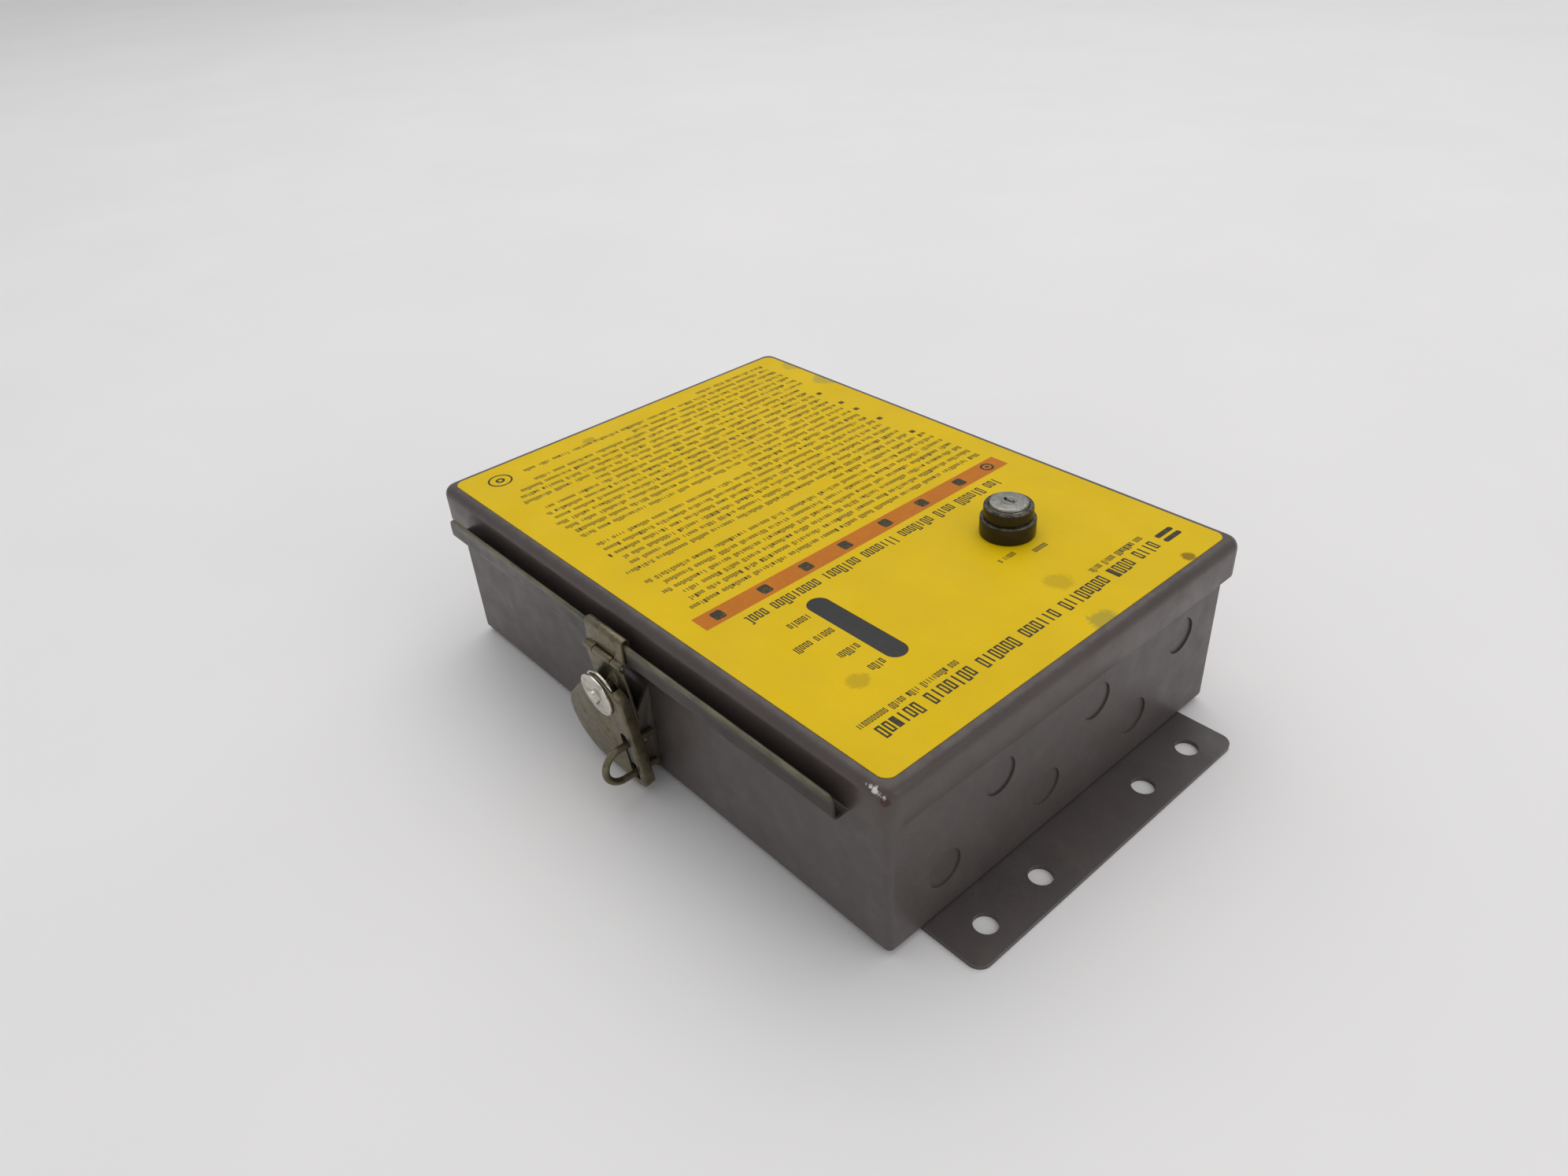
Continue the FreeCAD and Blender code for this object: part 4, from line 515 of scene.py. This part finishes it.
def blackened_head():
    """Blackened metal of the key switch, lighter on its rims."""
    finish = Finish("key switch black", srgb(46, 43, 36), 0.34, 0.55)
    layer = finish.mottle(5, 0.22)
    head_top = KEY_HIGH.z + 4.8 * MM
    rims = None
    # Lighter patches along the bezel's top rim and along the head's top rim.
    for level in (KEY_HIGH.z, head_top):
        apart = finish.calc("ABSOLUTE", finish.calc("SUBTRACT", finish.along("Z"), level), 0)
        rim = finish.span(apart, 0.7 * MM, 0.1 * MM, soft=True)
        rims = rim if rims is None else finish.calc("MAXIMUM", rims, rim)
    lightened_edge = finish.calc("MULTIPLY", rims, finish.span(finish.noise(2.2, 5.0), 0.38, 0.6))
    layer = finish.cover(layer, lightened_edge, srgb(120, 114, 96), 0.6)
    finish.paint(layer)
    finish.gloss(finish.noise(2.5, 4.0), 0.26, 0.46)
    finish.bump(finish.noise(0.6, 3.0), 0.03, 0.5)
    return finish


def lock_face_finish():
    """Cast face of the lock core, polished and scratched by keys."""
    finish = Finish("lock face", srgb(158, 157, 148), 0.3, 1.0)
    layer = finish.mottle(2.4, 0.16)
    pits = finish.span(finish.noise(0.9, 5.0, shift=2.0), 0.55, 0.7)
    layer = finish.cover(layer, pits, srgb(92, 92, 86), 0.6)
    finish.paint(layer)
    finish.gloss(finish.noise(1.2, 4.0), 0.18, 0.36)
    finish.bump(finish.noise(0.5, 4.0, stretch=(1, 4, 1)), 0.05, 0.6)
    return finish


def window_finish():
    """Smoked plastic of the lamp window."""
    colour = tuple(settings().colours.window)
    finish = Finish("smoked window", colour, 0.26, Specular_IOR_Level=0.35)
    finish.paint(finish.mottle(14, 0.08))
    finish.gloss(finish.noise(6, 4.0), 0.20, 0.34)
    finish.bump(finish.noise(0.9, 2.0), 0.01, 0.2)
    return finish


def board_finish():
    """Green laminate with copper runs under the mask and a fine weave."""
    finish = Finish("board laminate", srgb(28, 84, 46), 0.36)
    layer = finish.mottle(16, 0.10)
    runs = finish.span(finish.cells(5.0, "DISTANCE_TO_EDGE", (1, 1, 0.001)), 0.07, 0.05)
    layer = finish.cover(layer, runs, srgb(70, 128, 66), 0.55)
    finish.paint(layer)
    finish.gloss(finish.noise(3, 3.0), 0.30, 0.44)
    finish.bump(runs, 0.04, 0.5)
    finish.bump(finish.stripes(0.6), 0.006, 0.3)
    return finish


def foam_finish():
    """Closed-cell foam of the gasket."""
    finish = Finish("gasket foam", srgb(44, 44, 46), 0.9)
    cells = finish.cells(0.7)
    finish.paint(finish.blend(finish.span(cells, 0.2, 0.6), srgb(30, 30, 32), srgb(66, 66, 68)))
    finish.bump(cells, 0.2, 0.8)
    return finish


def core_finish():
    """Stacked transformer sheets, varnished, with rust in the joints."""
    finish = Finish("core sheets", srgb(70, 66, 64), 0.5, 0.6)
    sheets = finish.stripes(0.5, "X")
    layer = finish.blend(sheets, srgb(46, 42, 40), srgb(96, 92, 88))
    rust = finish.span(finish.noise(3, 5.0), 0.56, 0.72)
    finish.paint(finish.cover(layer, rust, srgb(104, 62, 38), 0.6))
    finish.bump(sheets, 0.06, 0.6)
    return finish


def tape_finish():
    """Yellow tape wound round the transformer in laps."""
    finish = Finish("winding tape", srgb(206, 170, 60), 0.32)
    lap = finish.span(finish.stripes(9.0, "Z"), 0.45, 0.55)
    finish.paint(finish.blend(lap, finish.colour, srgb(186, 148, 46)))
    finish.gloss(finish.noise(5, 3.0), 0.24, 0.42)
    finish.bump(lap, 0.05, 0.6)
    return finish


def glass_finish():
    """Clear tube of the fuse."""
    finish = Finish("fuse glass", srgb(226, 232, 230), 0.06, Transmission_Weight=0.85, IOR=1.5)
    finish.paint(finish.mottle(6, 0.03))
    finish.gloss(finish.noise(3, 2.0), 0.04, 0.10)
    return finish


def lamp_finish(name, chip):
    """Tinted lens of a small lamp."""
    finish = Finish(name, srgb(*chip), 0.22, Subsurface_Weight=0.2, Subsurface_Scale=0.002)
    finish.paint(finish.mottle(3, 0.12))
    finish.gloss(finish.noise(2, 2.0), 0.16, 0.28)
    finish.bump(finish.noise(0.8, 2.0), 0.01, 0.2)
    return finish


def all_finishes():
    """Each finish once, by the name of what it covers."""
    colours = settings().colours
    return {
        "enamel": box_enamel("box enamel", tuple(colours.enamel), SKIRT_FOOT),
        "lid_enamel": lid_finish(),
        "label_film": label_finish(),
        "lens": window_finish(),
        "hinge_steel": worn_metal("hinge steel", srgb(112, 106, 98), srgb(70, 62, 56)),
        "pin_steel": worn_metal(
            "pin steel", srgb(150, 148, 140), srgb(92, 86, 76), (0.24, 0.4), 2.0
        ),
        "latch_steel": worn_metal(
            "latch plating", tuple(colours.latch), srgb(70, 62, 46), (0.26, 0.46), 3.2
        ),
        "nickel": worn_metal(
            "rivet nickel", srgb(214, 210, 198), srgb(160, 154, 138), (0.14, 0.30), 2.2, 1.0, 0.02
        ),
        "spring_steel": worn_metal(
            "spring steel", srgb(98, 98, 96), srgb(64, 62, 60), (0.24, 0.4), 2.5
        ),
        "bracket_enamel": box_enamel("bracket enamel", srgb(82, 74, 64)),
        "key_black": blackened_head(),
        "key_chrome": lock_face_finish(),
        "key_brass": worn_metal(
            "brass", srgb(190, 158, 92), srgb(134, 104, 54), (0.24, 0.42), 2.5, 1.0
        ),
        "contact_plastic": moulded("contact moulding", srgb(38, 38, 42)),
        "foam": foam_finish(),
        "laminate": board_finish(),
        "zinc": worn_metal(
            "zinc plate", srgb(168, 168, 164), srgb(128, 130, 128), (0.26, 0.46), 6.0, 0.95, 0.02
        ),
        "brass_post": worn_metal(
            "post brass", srgb(196, 166, 100), srgb(150, 118, 62), (0.22, 0.4), 2.5, 1.0
        ),
        "terminal_plastic": moulded("terminal moulding", srgb(52, 120, 70)),
        "relay_plastic": moulded("relay case", srgb(224, 214, 186), 0.36),
        "core_iron": core_finish(),
        "winding_tape": tape_finish(),
        "fuse_glass": glass_finish(),
        "clip_metal": worn_metal(
            "clip tin", srgb(190, 188, 180), srgb(150, 146, 136), (0.2, 0.36), 2.0, 1.0
        ),
        "can_sleeve": moulded("capacitor sleeve", srgb(30, 40, 74), 0.3),
        "chip_black": moulded("chip epoxy", srgb(34, 34, 36), 0.5),
        "aluminium": worn_metal(
            "anodised fins", srgb(62, 62, 64), srgb(44, 44, 46), (0.36, 0.5), 4.0, 0.7
        ),
        "header_plastic": moulded("header moulding", srgb(28, 28, 30)),
        "slider_white": moulded("white moulding", srgb(226, 224, 214), 0.34),
        "lamp_red": lamp_finish("red lamp", (190, 32, 26)),
        "lamp_yellow": lamp_finish("yellow lamp", (214, 160, 24)),
        "lamp_green": lamp_finish("green lamp", (40, 150, 56)),
    }


# Every finish by name. The first step fills it.
finishes = {}


def slot_of(node):
    """The name of the finish that the record gives a node."""
    for part in frame["record"]["subparts"]:
        if part["node"] == node:
            return part["material_slot"]
    raise RuntimeError(f"no finish for {node}")


def wear_finish(piece, slot, finish=None):
    """Gives a piece the finish of its slot, or another finish in that slot."""
    piece.data.materials.clear()
    piece.data.materials.append((finish or finishes[slot]).material)


# Modelling helpers


def alone(piece=None):
    """Selects one piece and nothing else."""
    if bpy.context.object and bpy.context.object.mode != "OBJECT":
        bpy.ops.object.mode_set(mode="OBJECT")
    bpy.ops.object.select_all(action="DESELECT")
    if piece is not None:
        piece.select_set(True)
        bpy.context.view_layer.objects.active = piece


def settled(piece):
    """Puts a finished piece's place into its mesh."""
    alone(piece)
    bpy.ops.object.transform_apply(location=True, rotation=True, scale=True)


def apply_modifier(piece, kind, **values):
    """Adds a modifier with the given settings and puts its result into the mesh."""
    modifier = piece.modifiers.new(kind.title(), kind)
    for name, value in values.items():
        setattr(modifier, name, value)
    alone(piece)
    bpy.ops.object.modifier_apply(modifier=modifier.name)


def smooth(piece, degrees=SHARP_EDGE):
    """Shades a piece smooth, except at its corners."""
    alone(piece)
    bpy.ops.object.shade_smooth_by_angle(angle=math.radians(degrees))


def softened(node, width, segments=2):
    """A copy of a part with its sharp edges rounded over, in place of the plain one.

    The width of the rounding is in millimetres.
    """
    plain = frame["nodes"][node]
    piece = plain.copy()
    piece.data = plain.data.copy()
    piece.name = node + "_softened"
    piece.parent = None
    for key in list(piece.keys()):
        del piece[key]
    bpy.context.scene.collection.objects.link(piece)
    alone(piece)
    if piece.data.has_custom_normals:
        bpy.ops.mesh.customdata_custom_splitnormals_clear()
    bpy.ops.object.mode_set(mode="EDIT")
    bpy.ops.mesh.select_all(action="SELECT")
    bpy.ops.mesh.remove_doubles(threshold=SAME_POINT)
    bpy.ops.mesh.dissolve_limited(angle_limit=math.radians(FLAT_FACE))
    bpy.ops.object.mode_set(mode="OBJECT")
    apply_modifier(
        piece, "BEVEL", width=width * MM, segments=segments, limit_method="ANGLE",
        angle_limit=math.radians(SHARP_EDGE), use_clamp_overlap=False, miter_outer="MITER_ARC"
    )
    smooth(piece)
    wear_finish(piece, slot_of(node))
    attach(piece, body_of(plain)[0])
    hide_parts(node)
    return piece


def printed_row(x, start, end, height, mark, rhythm, tall, stroke):
    """A row of plain marks that runs from start down to end along Y, heads towards +X.

    A mark is a hollow block of three columns, or one column alone, and a fourth column parts it
    from the next. Words are left between blank marks. Some marks stand taller than the rest, by
    the share of the height that tall gives, and stroke is a line's share of the height.
    """
    count = max(4, int(abs(start - end) / mark))
    middle = x + height / 2
    alone()
    bpy.ops.mesh.primitive_grid_add(
        x_subdivisions=3, y_subdivisions=count, size=1, location=(0, 0, 0)
    )
    row = bpy.context.object
    bpy.ops.object.mode_set(mode="EDIT")
    bpy.ops.transform.resize(value=(height, mark * count, 1), center_override=(0, 0, 0))
    bpy.ops.transform.translate(value=(middle, start - mark * count / 2, 0))
    mesh = bmesh.from_edit_mesh(row.data)
    bpy.ops.mesh.select_all(action="DESELECT")
    for vertex in mesh.verts:
        vertex.select_set(abs(vertex.co.x - middle) < height / 4)
    bmesh.update_edit_mesh(row.data)
    bpy.ops.transform.resize(value=((0.5 - stroke) * 6, 1, 1), center_override=(middle, 0, 0))

    blank, slim, solid, upright = set(), set(), set(), set()
    left = rhythm.randint(3, 9)
    for letter in range(count // COLUMNS + 1):
        if left == 0:
            blank.add(letter)
            left = rhythm.randint(4, 11)
            continue
        left -= 1
        shape = rhythm.random()
        if shape < SLIM_SHARE:
            slim.add(letter)
        elif shape < SLIM_SHARE + SOLID_SHARE:
            solid.add(letter)
        if rhythm.random() < UPRIGHT_SHARE:
            upright.add(letter)
    mesh = bmesh.from_edit_mesh(row.data)
    for face in mesh.faces:
        centre = face.calc_center_median()
        letter, column = divmod(int((start - centre.y) / mark), COLUMNS)
        hollow = column == 1 and abs(centre.x - middle) < height / 4 and letter not in solid
        if letter in slim:
            hollow = column != 1
        face.select_set(column == COLUMNS - 1 or letter in blank or hollow)
    bmesh.update_edit_mesh(row.data)
    bpy.ops.mesh.delete(type="FACE")
    mesh = bmesh.from_edit_mesh(row.data)
    bpy.ops.mesh.select_all(action="DESELECT")
    for vertex in mesh.verts:
        letter = int((start - vertex.co.y + mark * 0.25) / mark) // COLUMNS
        vertex.select_set(letter in upright and vertex.co.x > middle + height * 0.1)
    bmesh.update_edit_mesh(row.data)
    bpy.ops.transform.translate(value=(height * tall, 0, 0))
    bpy.ops.object.mode_set(mode="OBJECT")
    return row


def select_faces(piece, wanted):
    """Selects only the faces of the piece in hand that pass a test."""
    bpy.ops.mesh.select_all(action="DESELECT")
    mesh = bmesh.from_edit_mesh(piece.data)
    for face in mesh.faces:
        face.select_set(wanted(face))
    bmesh.update_edit_mesh(piece.data)


def as_print(rows, name, ink, lift=PRINT_LIFT):
    """Joins flat shapes into one thin closed skin on the label."""
    alone(rows[0])
    for row in rows:
        row.select_set(True)
    if len(rows) > 1:
        bpy.ops.object.join()
    piece = bpy.context.object
    piece.name = name
    bpy.ops.object.mode_set(mode="EDIT")
    bpy.ops.mesh.select_all(action="SELECT")
    bpy.ops.mesh.normals_make_consistent(inside=False)
    bpy.ops.object.mode_set(mode="OBJECT")
    if piece.data.polygons[0].normal.z < 0:
        bpy.ops.object.mode_set(mode="EDIT")
        bpy.ops.mesh.select_all(action="SELECT")
        bpy.ops.mesh.flip_normals()
        bpy.ops.object.mode_set(mode="OBJECT")
    apply_modifier(piece, "SOLIDIFY", thickness=(lift + PRINT_SINK) * MM, offset=-1)
    bpy.ops.object.mode_set(mode="EDIT")
    bpy.ops.mesh.select_all(action="SELECT")
    bpy.ops.transform.translate(value=(0, 0, LABEL_TOP + lift * MM))
    bpy.ops.object.mode_set(mode="OBJECT")
    settled(piece)
    wear_finish(piece, "label_film", ink)
    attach(piece, "lid")


def flat_block(low, high, corner):
    """A flat plate between two corners in millimetres, with rounded corners."""
    alone()
    middle = ((low[0] + high[0]) / 2 * MM, (low[1] + high[1]) / 2 * MM, 0)
    bpy.ops.mesh.primitive_plane_add(size=1, location=middle)
    block = bpy.context.object
    bpy.ops.object.mode_set(mode="EDIT")
    bpy.ops.transform.resize(
        value=(abs(high[0] - low[0]) * MM, abs(high[1] - low[1]) * MM, 1), center_override=middle
    )
    bpy.ops.mesh.select_all(action="SELECT")
    bpy.ops.mesh.bevel(offset=corner * MM, segments=3, affect="VERTICES")
    bpy.ops.object.mode_set(mode="OBJECT")
    return block


def flat_ring(centre, outer, inner):
    """A flat ring round a place in millimetres."""
    alone()
    bpy.ops.mesh.primitive_circle_add(
        vertices=32, radius=outer * MM, fill_type="NGON",
        location=(centre[0] * MM, centre[1] * MM, 0)
    )
    ring = bpy.context.object
    bpy.ops.object.mode_set(mode="EDIT")
    bpy.ops.mesh.select_all(action="SELECT")
    bpy.ops.mesh.inset(thickness=(outer - inner) * MM)
    bpy.ops.mesh.delete(type="FACE")
    bpy.ops.object.mode_set(mode="OBJECT")
    return ring


def lock_cap(foot, top, radius):
    """Rounded face of the lock with a short keyway in a raised collar."""
    shoulder, edge = 0.35 * MM, 0.75 * MM
    collar_radius, collar_slope, collar_rise, collar_width = 3.6 * MM, 0.35 * MM, 0.3 * MM, 0.7 * MM
    well_slope, well_depth = 0.3 * MM, 0.45 * MM
    keyway, keyway_edge = (4.8 * MM, 1.5 * MM, 2.4 * MM), 0.2 * MM

    alone()
    place = (KEY_AXIS.x, KEY_AXIS.y, foot)
    bpy.ops.mesh.primitive_circle_add(vertices=64, radius=radius, fill_type="NGON", location=place)
    cap = bpy.context.object
    cap.name = "lock_cap"
    bpy.ops.object.mode_set(mode="EDIT")
    bpy.ops.mesh.select_all(action="SELECT")
    bpy.ops.mesh.extrude_region_move(
        TRANSFORM_OT_translate={"value": (0, 0, top - foot - shoulder)}
    )
    bpy.ops.mesh.bevel(offset=edge, segments=5, affect="EDGES")
    select_faces(cap, lambda face: face.normal.z > 0.99 and face.calc_area() > radius * radius)
    bpy.ops.mesh.inset(thickness=radius - collar_radius)
    bpy.ops.mesh.inset(thickness=collar_slope)
    bpy.ops.transform.translate(value=(0, 0, collar_rise))
    bpy.ops.mesh.inset(thickness=collar_width)
    bpy.ops.mesh.inset(thickness=well_slope)
    bpy.ops.transform.translate(value=(0, 0, -well_depth))
    bpy.ops.object.mode_set(mode="OBJECT")
    settled(cap)
    bpy.ops.object.mode_set(mode="EDIT")
    bpy.ops.mesh.select_all(action="SELECT")
    bpy.ops.mesh.normals_make_consistent(inside=False)
    bpy.ops.object.mode_set(mode="OBJECT")

    alone()
    bpy.ops.mesh.primitive_cube_add(size=1, location=(KEY_AXIS.x, KEY_AXIS.y, top))
    key_slot = bpy.context.object
    bpy.ops.object.mode_set(mode="EDIT")
    bpy.ops.transform.resize(value=keyway, center_override=key_slot.location)
    bpy.ops.mesh.bevel(offset=keyway_edge, segments=2, affect="EDGES")
    bpy.ops.object.mode_set(mode="OBJECT")
    apply_modifier(cap, "BOOLEAN", operation="DIFFERENCE", object=key_slot, solver="EXACT")
    bpy.data.objects.remove(key_slot)
    smooth(cap, 40)
    wear_finish(cap, "key_chrome")
    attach(cap, "key_core")


class BOX_OT_finishes(bpy.types.Operator):
    """Mixes every finish and lays it on the parts that keep their plain shape"""
    bl_idname = "controller_box.finishes"
    bl_label = "Finishes"

    def execute(self, context):
        finishes.clear()
        finishes.update(all_finishes())
        for name, node in frame["nodes"].items():
            material = finishes[slot_of(name)].material
            if not node.material_slots:
                node.data.materials.append(material)
            for item in node.material_slots:
                item.material = material
        return {"FINISHED"}


class BOX_OT_small_print(bpy.types.Operator):
    """Prints the rows of small marks on the lower part of the label"""
    bl_idname = "controller_box.small_print"
    bl_label = "Small print"

    def execute(self, context):
        layout = settings().label
        rhythm = random.Random(layout.seed)
        rows = []
        for number in range(layout.notes_rows):
            x = layout.notes_top - layout.notes_pitch * number
            end = PARAGRAPH_ENDS.get(number, ROW_END + rhythm.uniform(-0.5, 6.0)) * MM
            if x < CORNER_X:
                end = max(end, CORNER_END)
            indented = FIRST_INDENTED <= number <= LAST_INDENTED
            start = (INDENTED_START if indented else ROW_START) * MM
            rows.append(printed_row(
                x, start, end, layout.notes_height, MARK_WIDTH * MM, rhythm,
                SMALL_TALL, SMALL_STROKE
            ))
            if number in BULLETED_ROWS:
                foot, (left, right) = x / MM, BULLET_SIDES
                rows.append(flat_block((foot, left), (foot + right - left, right), 0.2))
        as_print(rows, "label_small_print", ink_finish("small ink", srgb(84, 74, 32), 0.35))
        return {"FINISHED"}


class BOX_OT_headings(bpy.types.Operator):
    """Prints the heading, the title, the captions and the marks by the key switch"""
    bl_idname = "controller_box.headings"
    bl_label = "Headings"

    def execute(self, context):
        layout = settings().label
        rhythm = random.Random(layout.seed + 1)

        def row(place, height, tall=0.3):
            x, start, end = (value * MM for value in place)
            mark = height * LARGE_MARK
            return printed_row(x, start, end, height, mark, rhythm, tall, LARGE_STROKE)

        rows = [row(HEADING, layout.heading_height, 0.12), row(TITLE, layout.title_height)]
        rows += [flat_block(low, high, 0.8) for low, high in BARS]
        rows += [row(place, CONTACT_HEIGHT * MM) for place in CONTACT_LINES]
        rows += [row(place, KEY_NAME_HEIGHT * MM, 0) for place in KEY_NAMES]
        rows += [row((x, CAPTION_START, end), layout.caption_height) for x, end in CAPTIONS]
        rows += [flat_ring(CORNER_RING, outer, inner) for outer, inner in CORNER_RADII]
        ink = ink_finish("heading ink", tuple(settings().colours.ink))
        as_print(rows, "label_headings", ink)
        return {"FINISHED"}


class BOX_OT_band(bpy.types.Operator):
    """Prints the orange band and the plain blocks on it"""
    bl_idname = "controller_box.band"
    bl_label = "Orange band"

    def execute(self, context):
        colours, layout = settings().colours, settings().label
        low, high = layout.band_low / MM, layout.band_high / MM
        start, end = BAND_ENDS
        band = flat_block((low, start), (high, end), 0.3)
        orange = ink_finish("band ink", tuple(colours.band), 0.15)
        as_print([band], "label_band", orange, 0.02)
        ring_place = ((low + high) / 2, BAND_RING_Y)
        marks = [flat_ring(ring_place, outer, inner) for outer, inner in BAND_RADII]
        for y in BAND_MARKS_Y:
            foot = (low + BAND_MARGIN, y - BAND_MARK_HALF)
            head = (high - BAND_MARGIN, y + BAND_MARK_HALF)
            marks.append(flat_block(foot, head, 0.9))
        ink = ink_finish("band marks ink", tuple(colours.ink))
        as_print(marks, "label_band_marks", ink, 0.04)
        return {"FINISHED"}


class BOX_OT_lid(bpy.types.Operator):
    """Rounds the cut edges of the lid and its lip"""
    bl_idname = "controller_box.lid"
    bl_label = "Lid"

    def execute(self, context):
        softened("lid_cover", 0.45)
        return {"FINISHED"}


class BOX_OT_latch(bpy.types.Operator):
    """Rounds the edges of the latch, its bracket and its pins"""
    bl_idname = "controller_box.latch"
    bl_label = "Latch"

    def execute(self, context):
        for node, width in (
            ("latch_hook", 0.3), ("latch_strap", 0.3), ("latch_paddle", 0.35),
            ("latch_rivet", 0.45), ("latch_bracket", 0.3), ("keeper_pin", 0.3), ("latch_pin", 0.3),
        ):
            softened(node, width)
        return {"FINISHED"}


class BOX_OT_key_switch(bpy.types.Operator):
    """Rounds the key switch's dress nut, head and lock face"""
    bl_idname = "controller_box.key_switch"
    bl_label = "Key switch"

    def execute(self, context):
        softened("key_bezel", 0.55, 3)
        softened("key_switch_body", 0.6, 3)
        core = softened("lock_core", 0.2)
        low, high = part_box("lock_core")
        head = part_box("key_switch_body")[1].z
        alone(core)
        bpy.ops.object.mode_set(mode="EDIT")
        bpy.ops.mesh.select_all(action="SELECT")
        bpy.ops.mesh.bisect(
            plane_co=(0, 0, head), plane_no=(0, 0, 1), clear_outer=True, use_fill=True
        )
        bpy.ops.object.mode_set(mode="OBJECT")
        overlap = 0.05 * MM
        lock_cap(head - overlap, high.z, (high.x - low.x) / 2)
        return {"FINISHED"}


class BOX_OT_board_parts(bpy.types.Operator):
    """Rounds the moulded and stamped parts inside the box"""
    bl_idname = "controller_box.board_parts"
    bl_label = "Board parts"

    def execute(self, context):
        for node, width in (
            ("input_terminals", 0.25), ("output_terminals", 0.25), ("terminal_screws", 0.2),
            ("safety_relay_a", 0.5), ("safety_relay_b", 0.5), ("transformer_core", 0.3),
            ("transformer_winding", 0.9), ("capacitors", 0.6), ("logic_chips", 0.2),
            ("heat_sink", 0.2), ("lead_header", 0.12), ("contact_block", 0.4), ("key_nut", 0.3),
            ("fault_lamp", 0.1), ("interlock_lamp", 0.1), ("stop_lamp", 0.1), ("run_lamp", 0.1),
        ):
            softened(node, width)
        return {"FINISHED"}


class BOX_OT_stage(bpy.types.Operator):
    """Lays the floor, hangs the lamps and stands the camera"""
    bl_idname = "controller_box.stage"
    bl_label = "Stage"

    def execute(self, context):
        stage = settings().stage
        alone()
        bpy.ops.mesh.primitive_plane_add(size=FLOOR_SIZE, location=(0, 0, 0))
        floor = bpy.context.object
        floor.name = "floor"
        finish = Finish("pale floor", tuple(stage.floor), 0.6, Specular_IOR_Level=0.3)
        finish.paint(finish.mottle(220, 0.015))
        finish.gloss(finish.noise(60, 3.0), 0.55, 0.7)
        floor.data.materials.append(finish.material)

        world = bpy.data.worlds.new("studio")
        world.use_nodes = True
        sky = world.node_tree.nodes["Background"]
        sky.inputs["Color"].default_value = SKY_COLOUR
        sky.inputs["Strength"].default_value = stage.sky
        context.scene.world = world
        for name, place, aim, size, power in (
            ("overhead", (-0.6, 0.8, 2.4), (0, 0, 0), 3.0, stage.lamp),
            ("side", (1.8, 0.3, 1.1), (0, 0, 0.03), 1.2, stage.lamp * SIDE_SHARE),
        ):
            light = bpy.data.lights.new(name, "AREA")
            light.size = size
            light.energy = power
            lamp = bpy.data.objects.new(name, light)
            lamp.location = place
            lamp.rotation_euler = (Vector(aim) - Vector(place)).to_track_quat("-Z", "Y").to_euler()
            context.scene.collection.objects.link(lamp)

        forward = Vector(stage.aim).normalized()
        right = forward.cross(Vector(stage.crown)).normalized()
        crown = right.cross(forward)
        data = bpy.data.cameras.new("camera")
        data.sensor_width = SENSOR_WIDTH
        data.lens = stage.lens
        data.clip_start = 0.01
        camera = bpy.data.objects.new("camera", data)
        camera.matrix_world = (
            Matrix.Translation(Vector(stage.stand))
            @ Matrix((right, crown, -forward)).transposed().to_4x4()
        )
        context.scene.collection.objects.link(camera)
        context.scene.camera = camera
        context.scene.view_settings.view_transform = "Standard"
        return {"FINISHED"}


STEPS = (
    BOX_OT_finishes, BOX_OT_small_print, BOX_OT_headings, BOX_OT_band, BOX_OT_lid, BOX_OT_latch,
    BOX_OT_key_switch, BOX_OT_board_parts, BOX_OT_stage,
)


class BOX_PT_panel(bpy.types.Panel):
    """Lists the steps and their settings"""
    bl_label = "Controller box"
    bl_idname = "BOX_PT_panel"
    bl_space_type = "VIEW_3D"
    bl_region_type = "UI"
    bl_category = "Controller box"

    def draw(self, context):
        layout = self.layout
        for group in (settings().colours, settings().label, settings().stage):
            column = layout.column(align=True)
            for name in group.bl_rna.properties.keys():
                if name not in ("rna_type", "name"):
                    column.prop(group, name)
        for step in STEPS:
            layout.operator(step.bl_idname)


CLASSES = (BoxColours, LabelLayout, StageSetup, BoxSettings, *STEPS, BOX_PT_panel)


def register():
    for item in CLASSES:
        bpy.utils.register_class(item)
    bpy.types.Scene.controller_box = bpy.props.PointerProperty(type=BoxSettings)


def unregister():
    del bpy.types.Scene.controller_box
    for item in reversed(CLASSES):
        bpy.utils.unregister_class(item)


def main():
    register()
    for step in STEPS:
        group, name = step.bl_idname.split(".")
        getattr(getattr(bpy.ops, group), name)()
    alone()


if __name__ == "__main__":
    main()
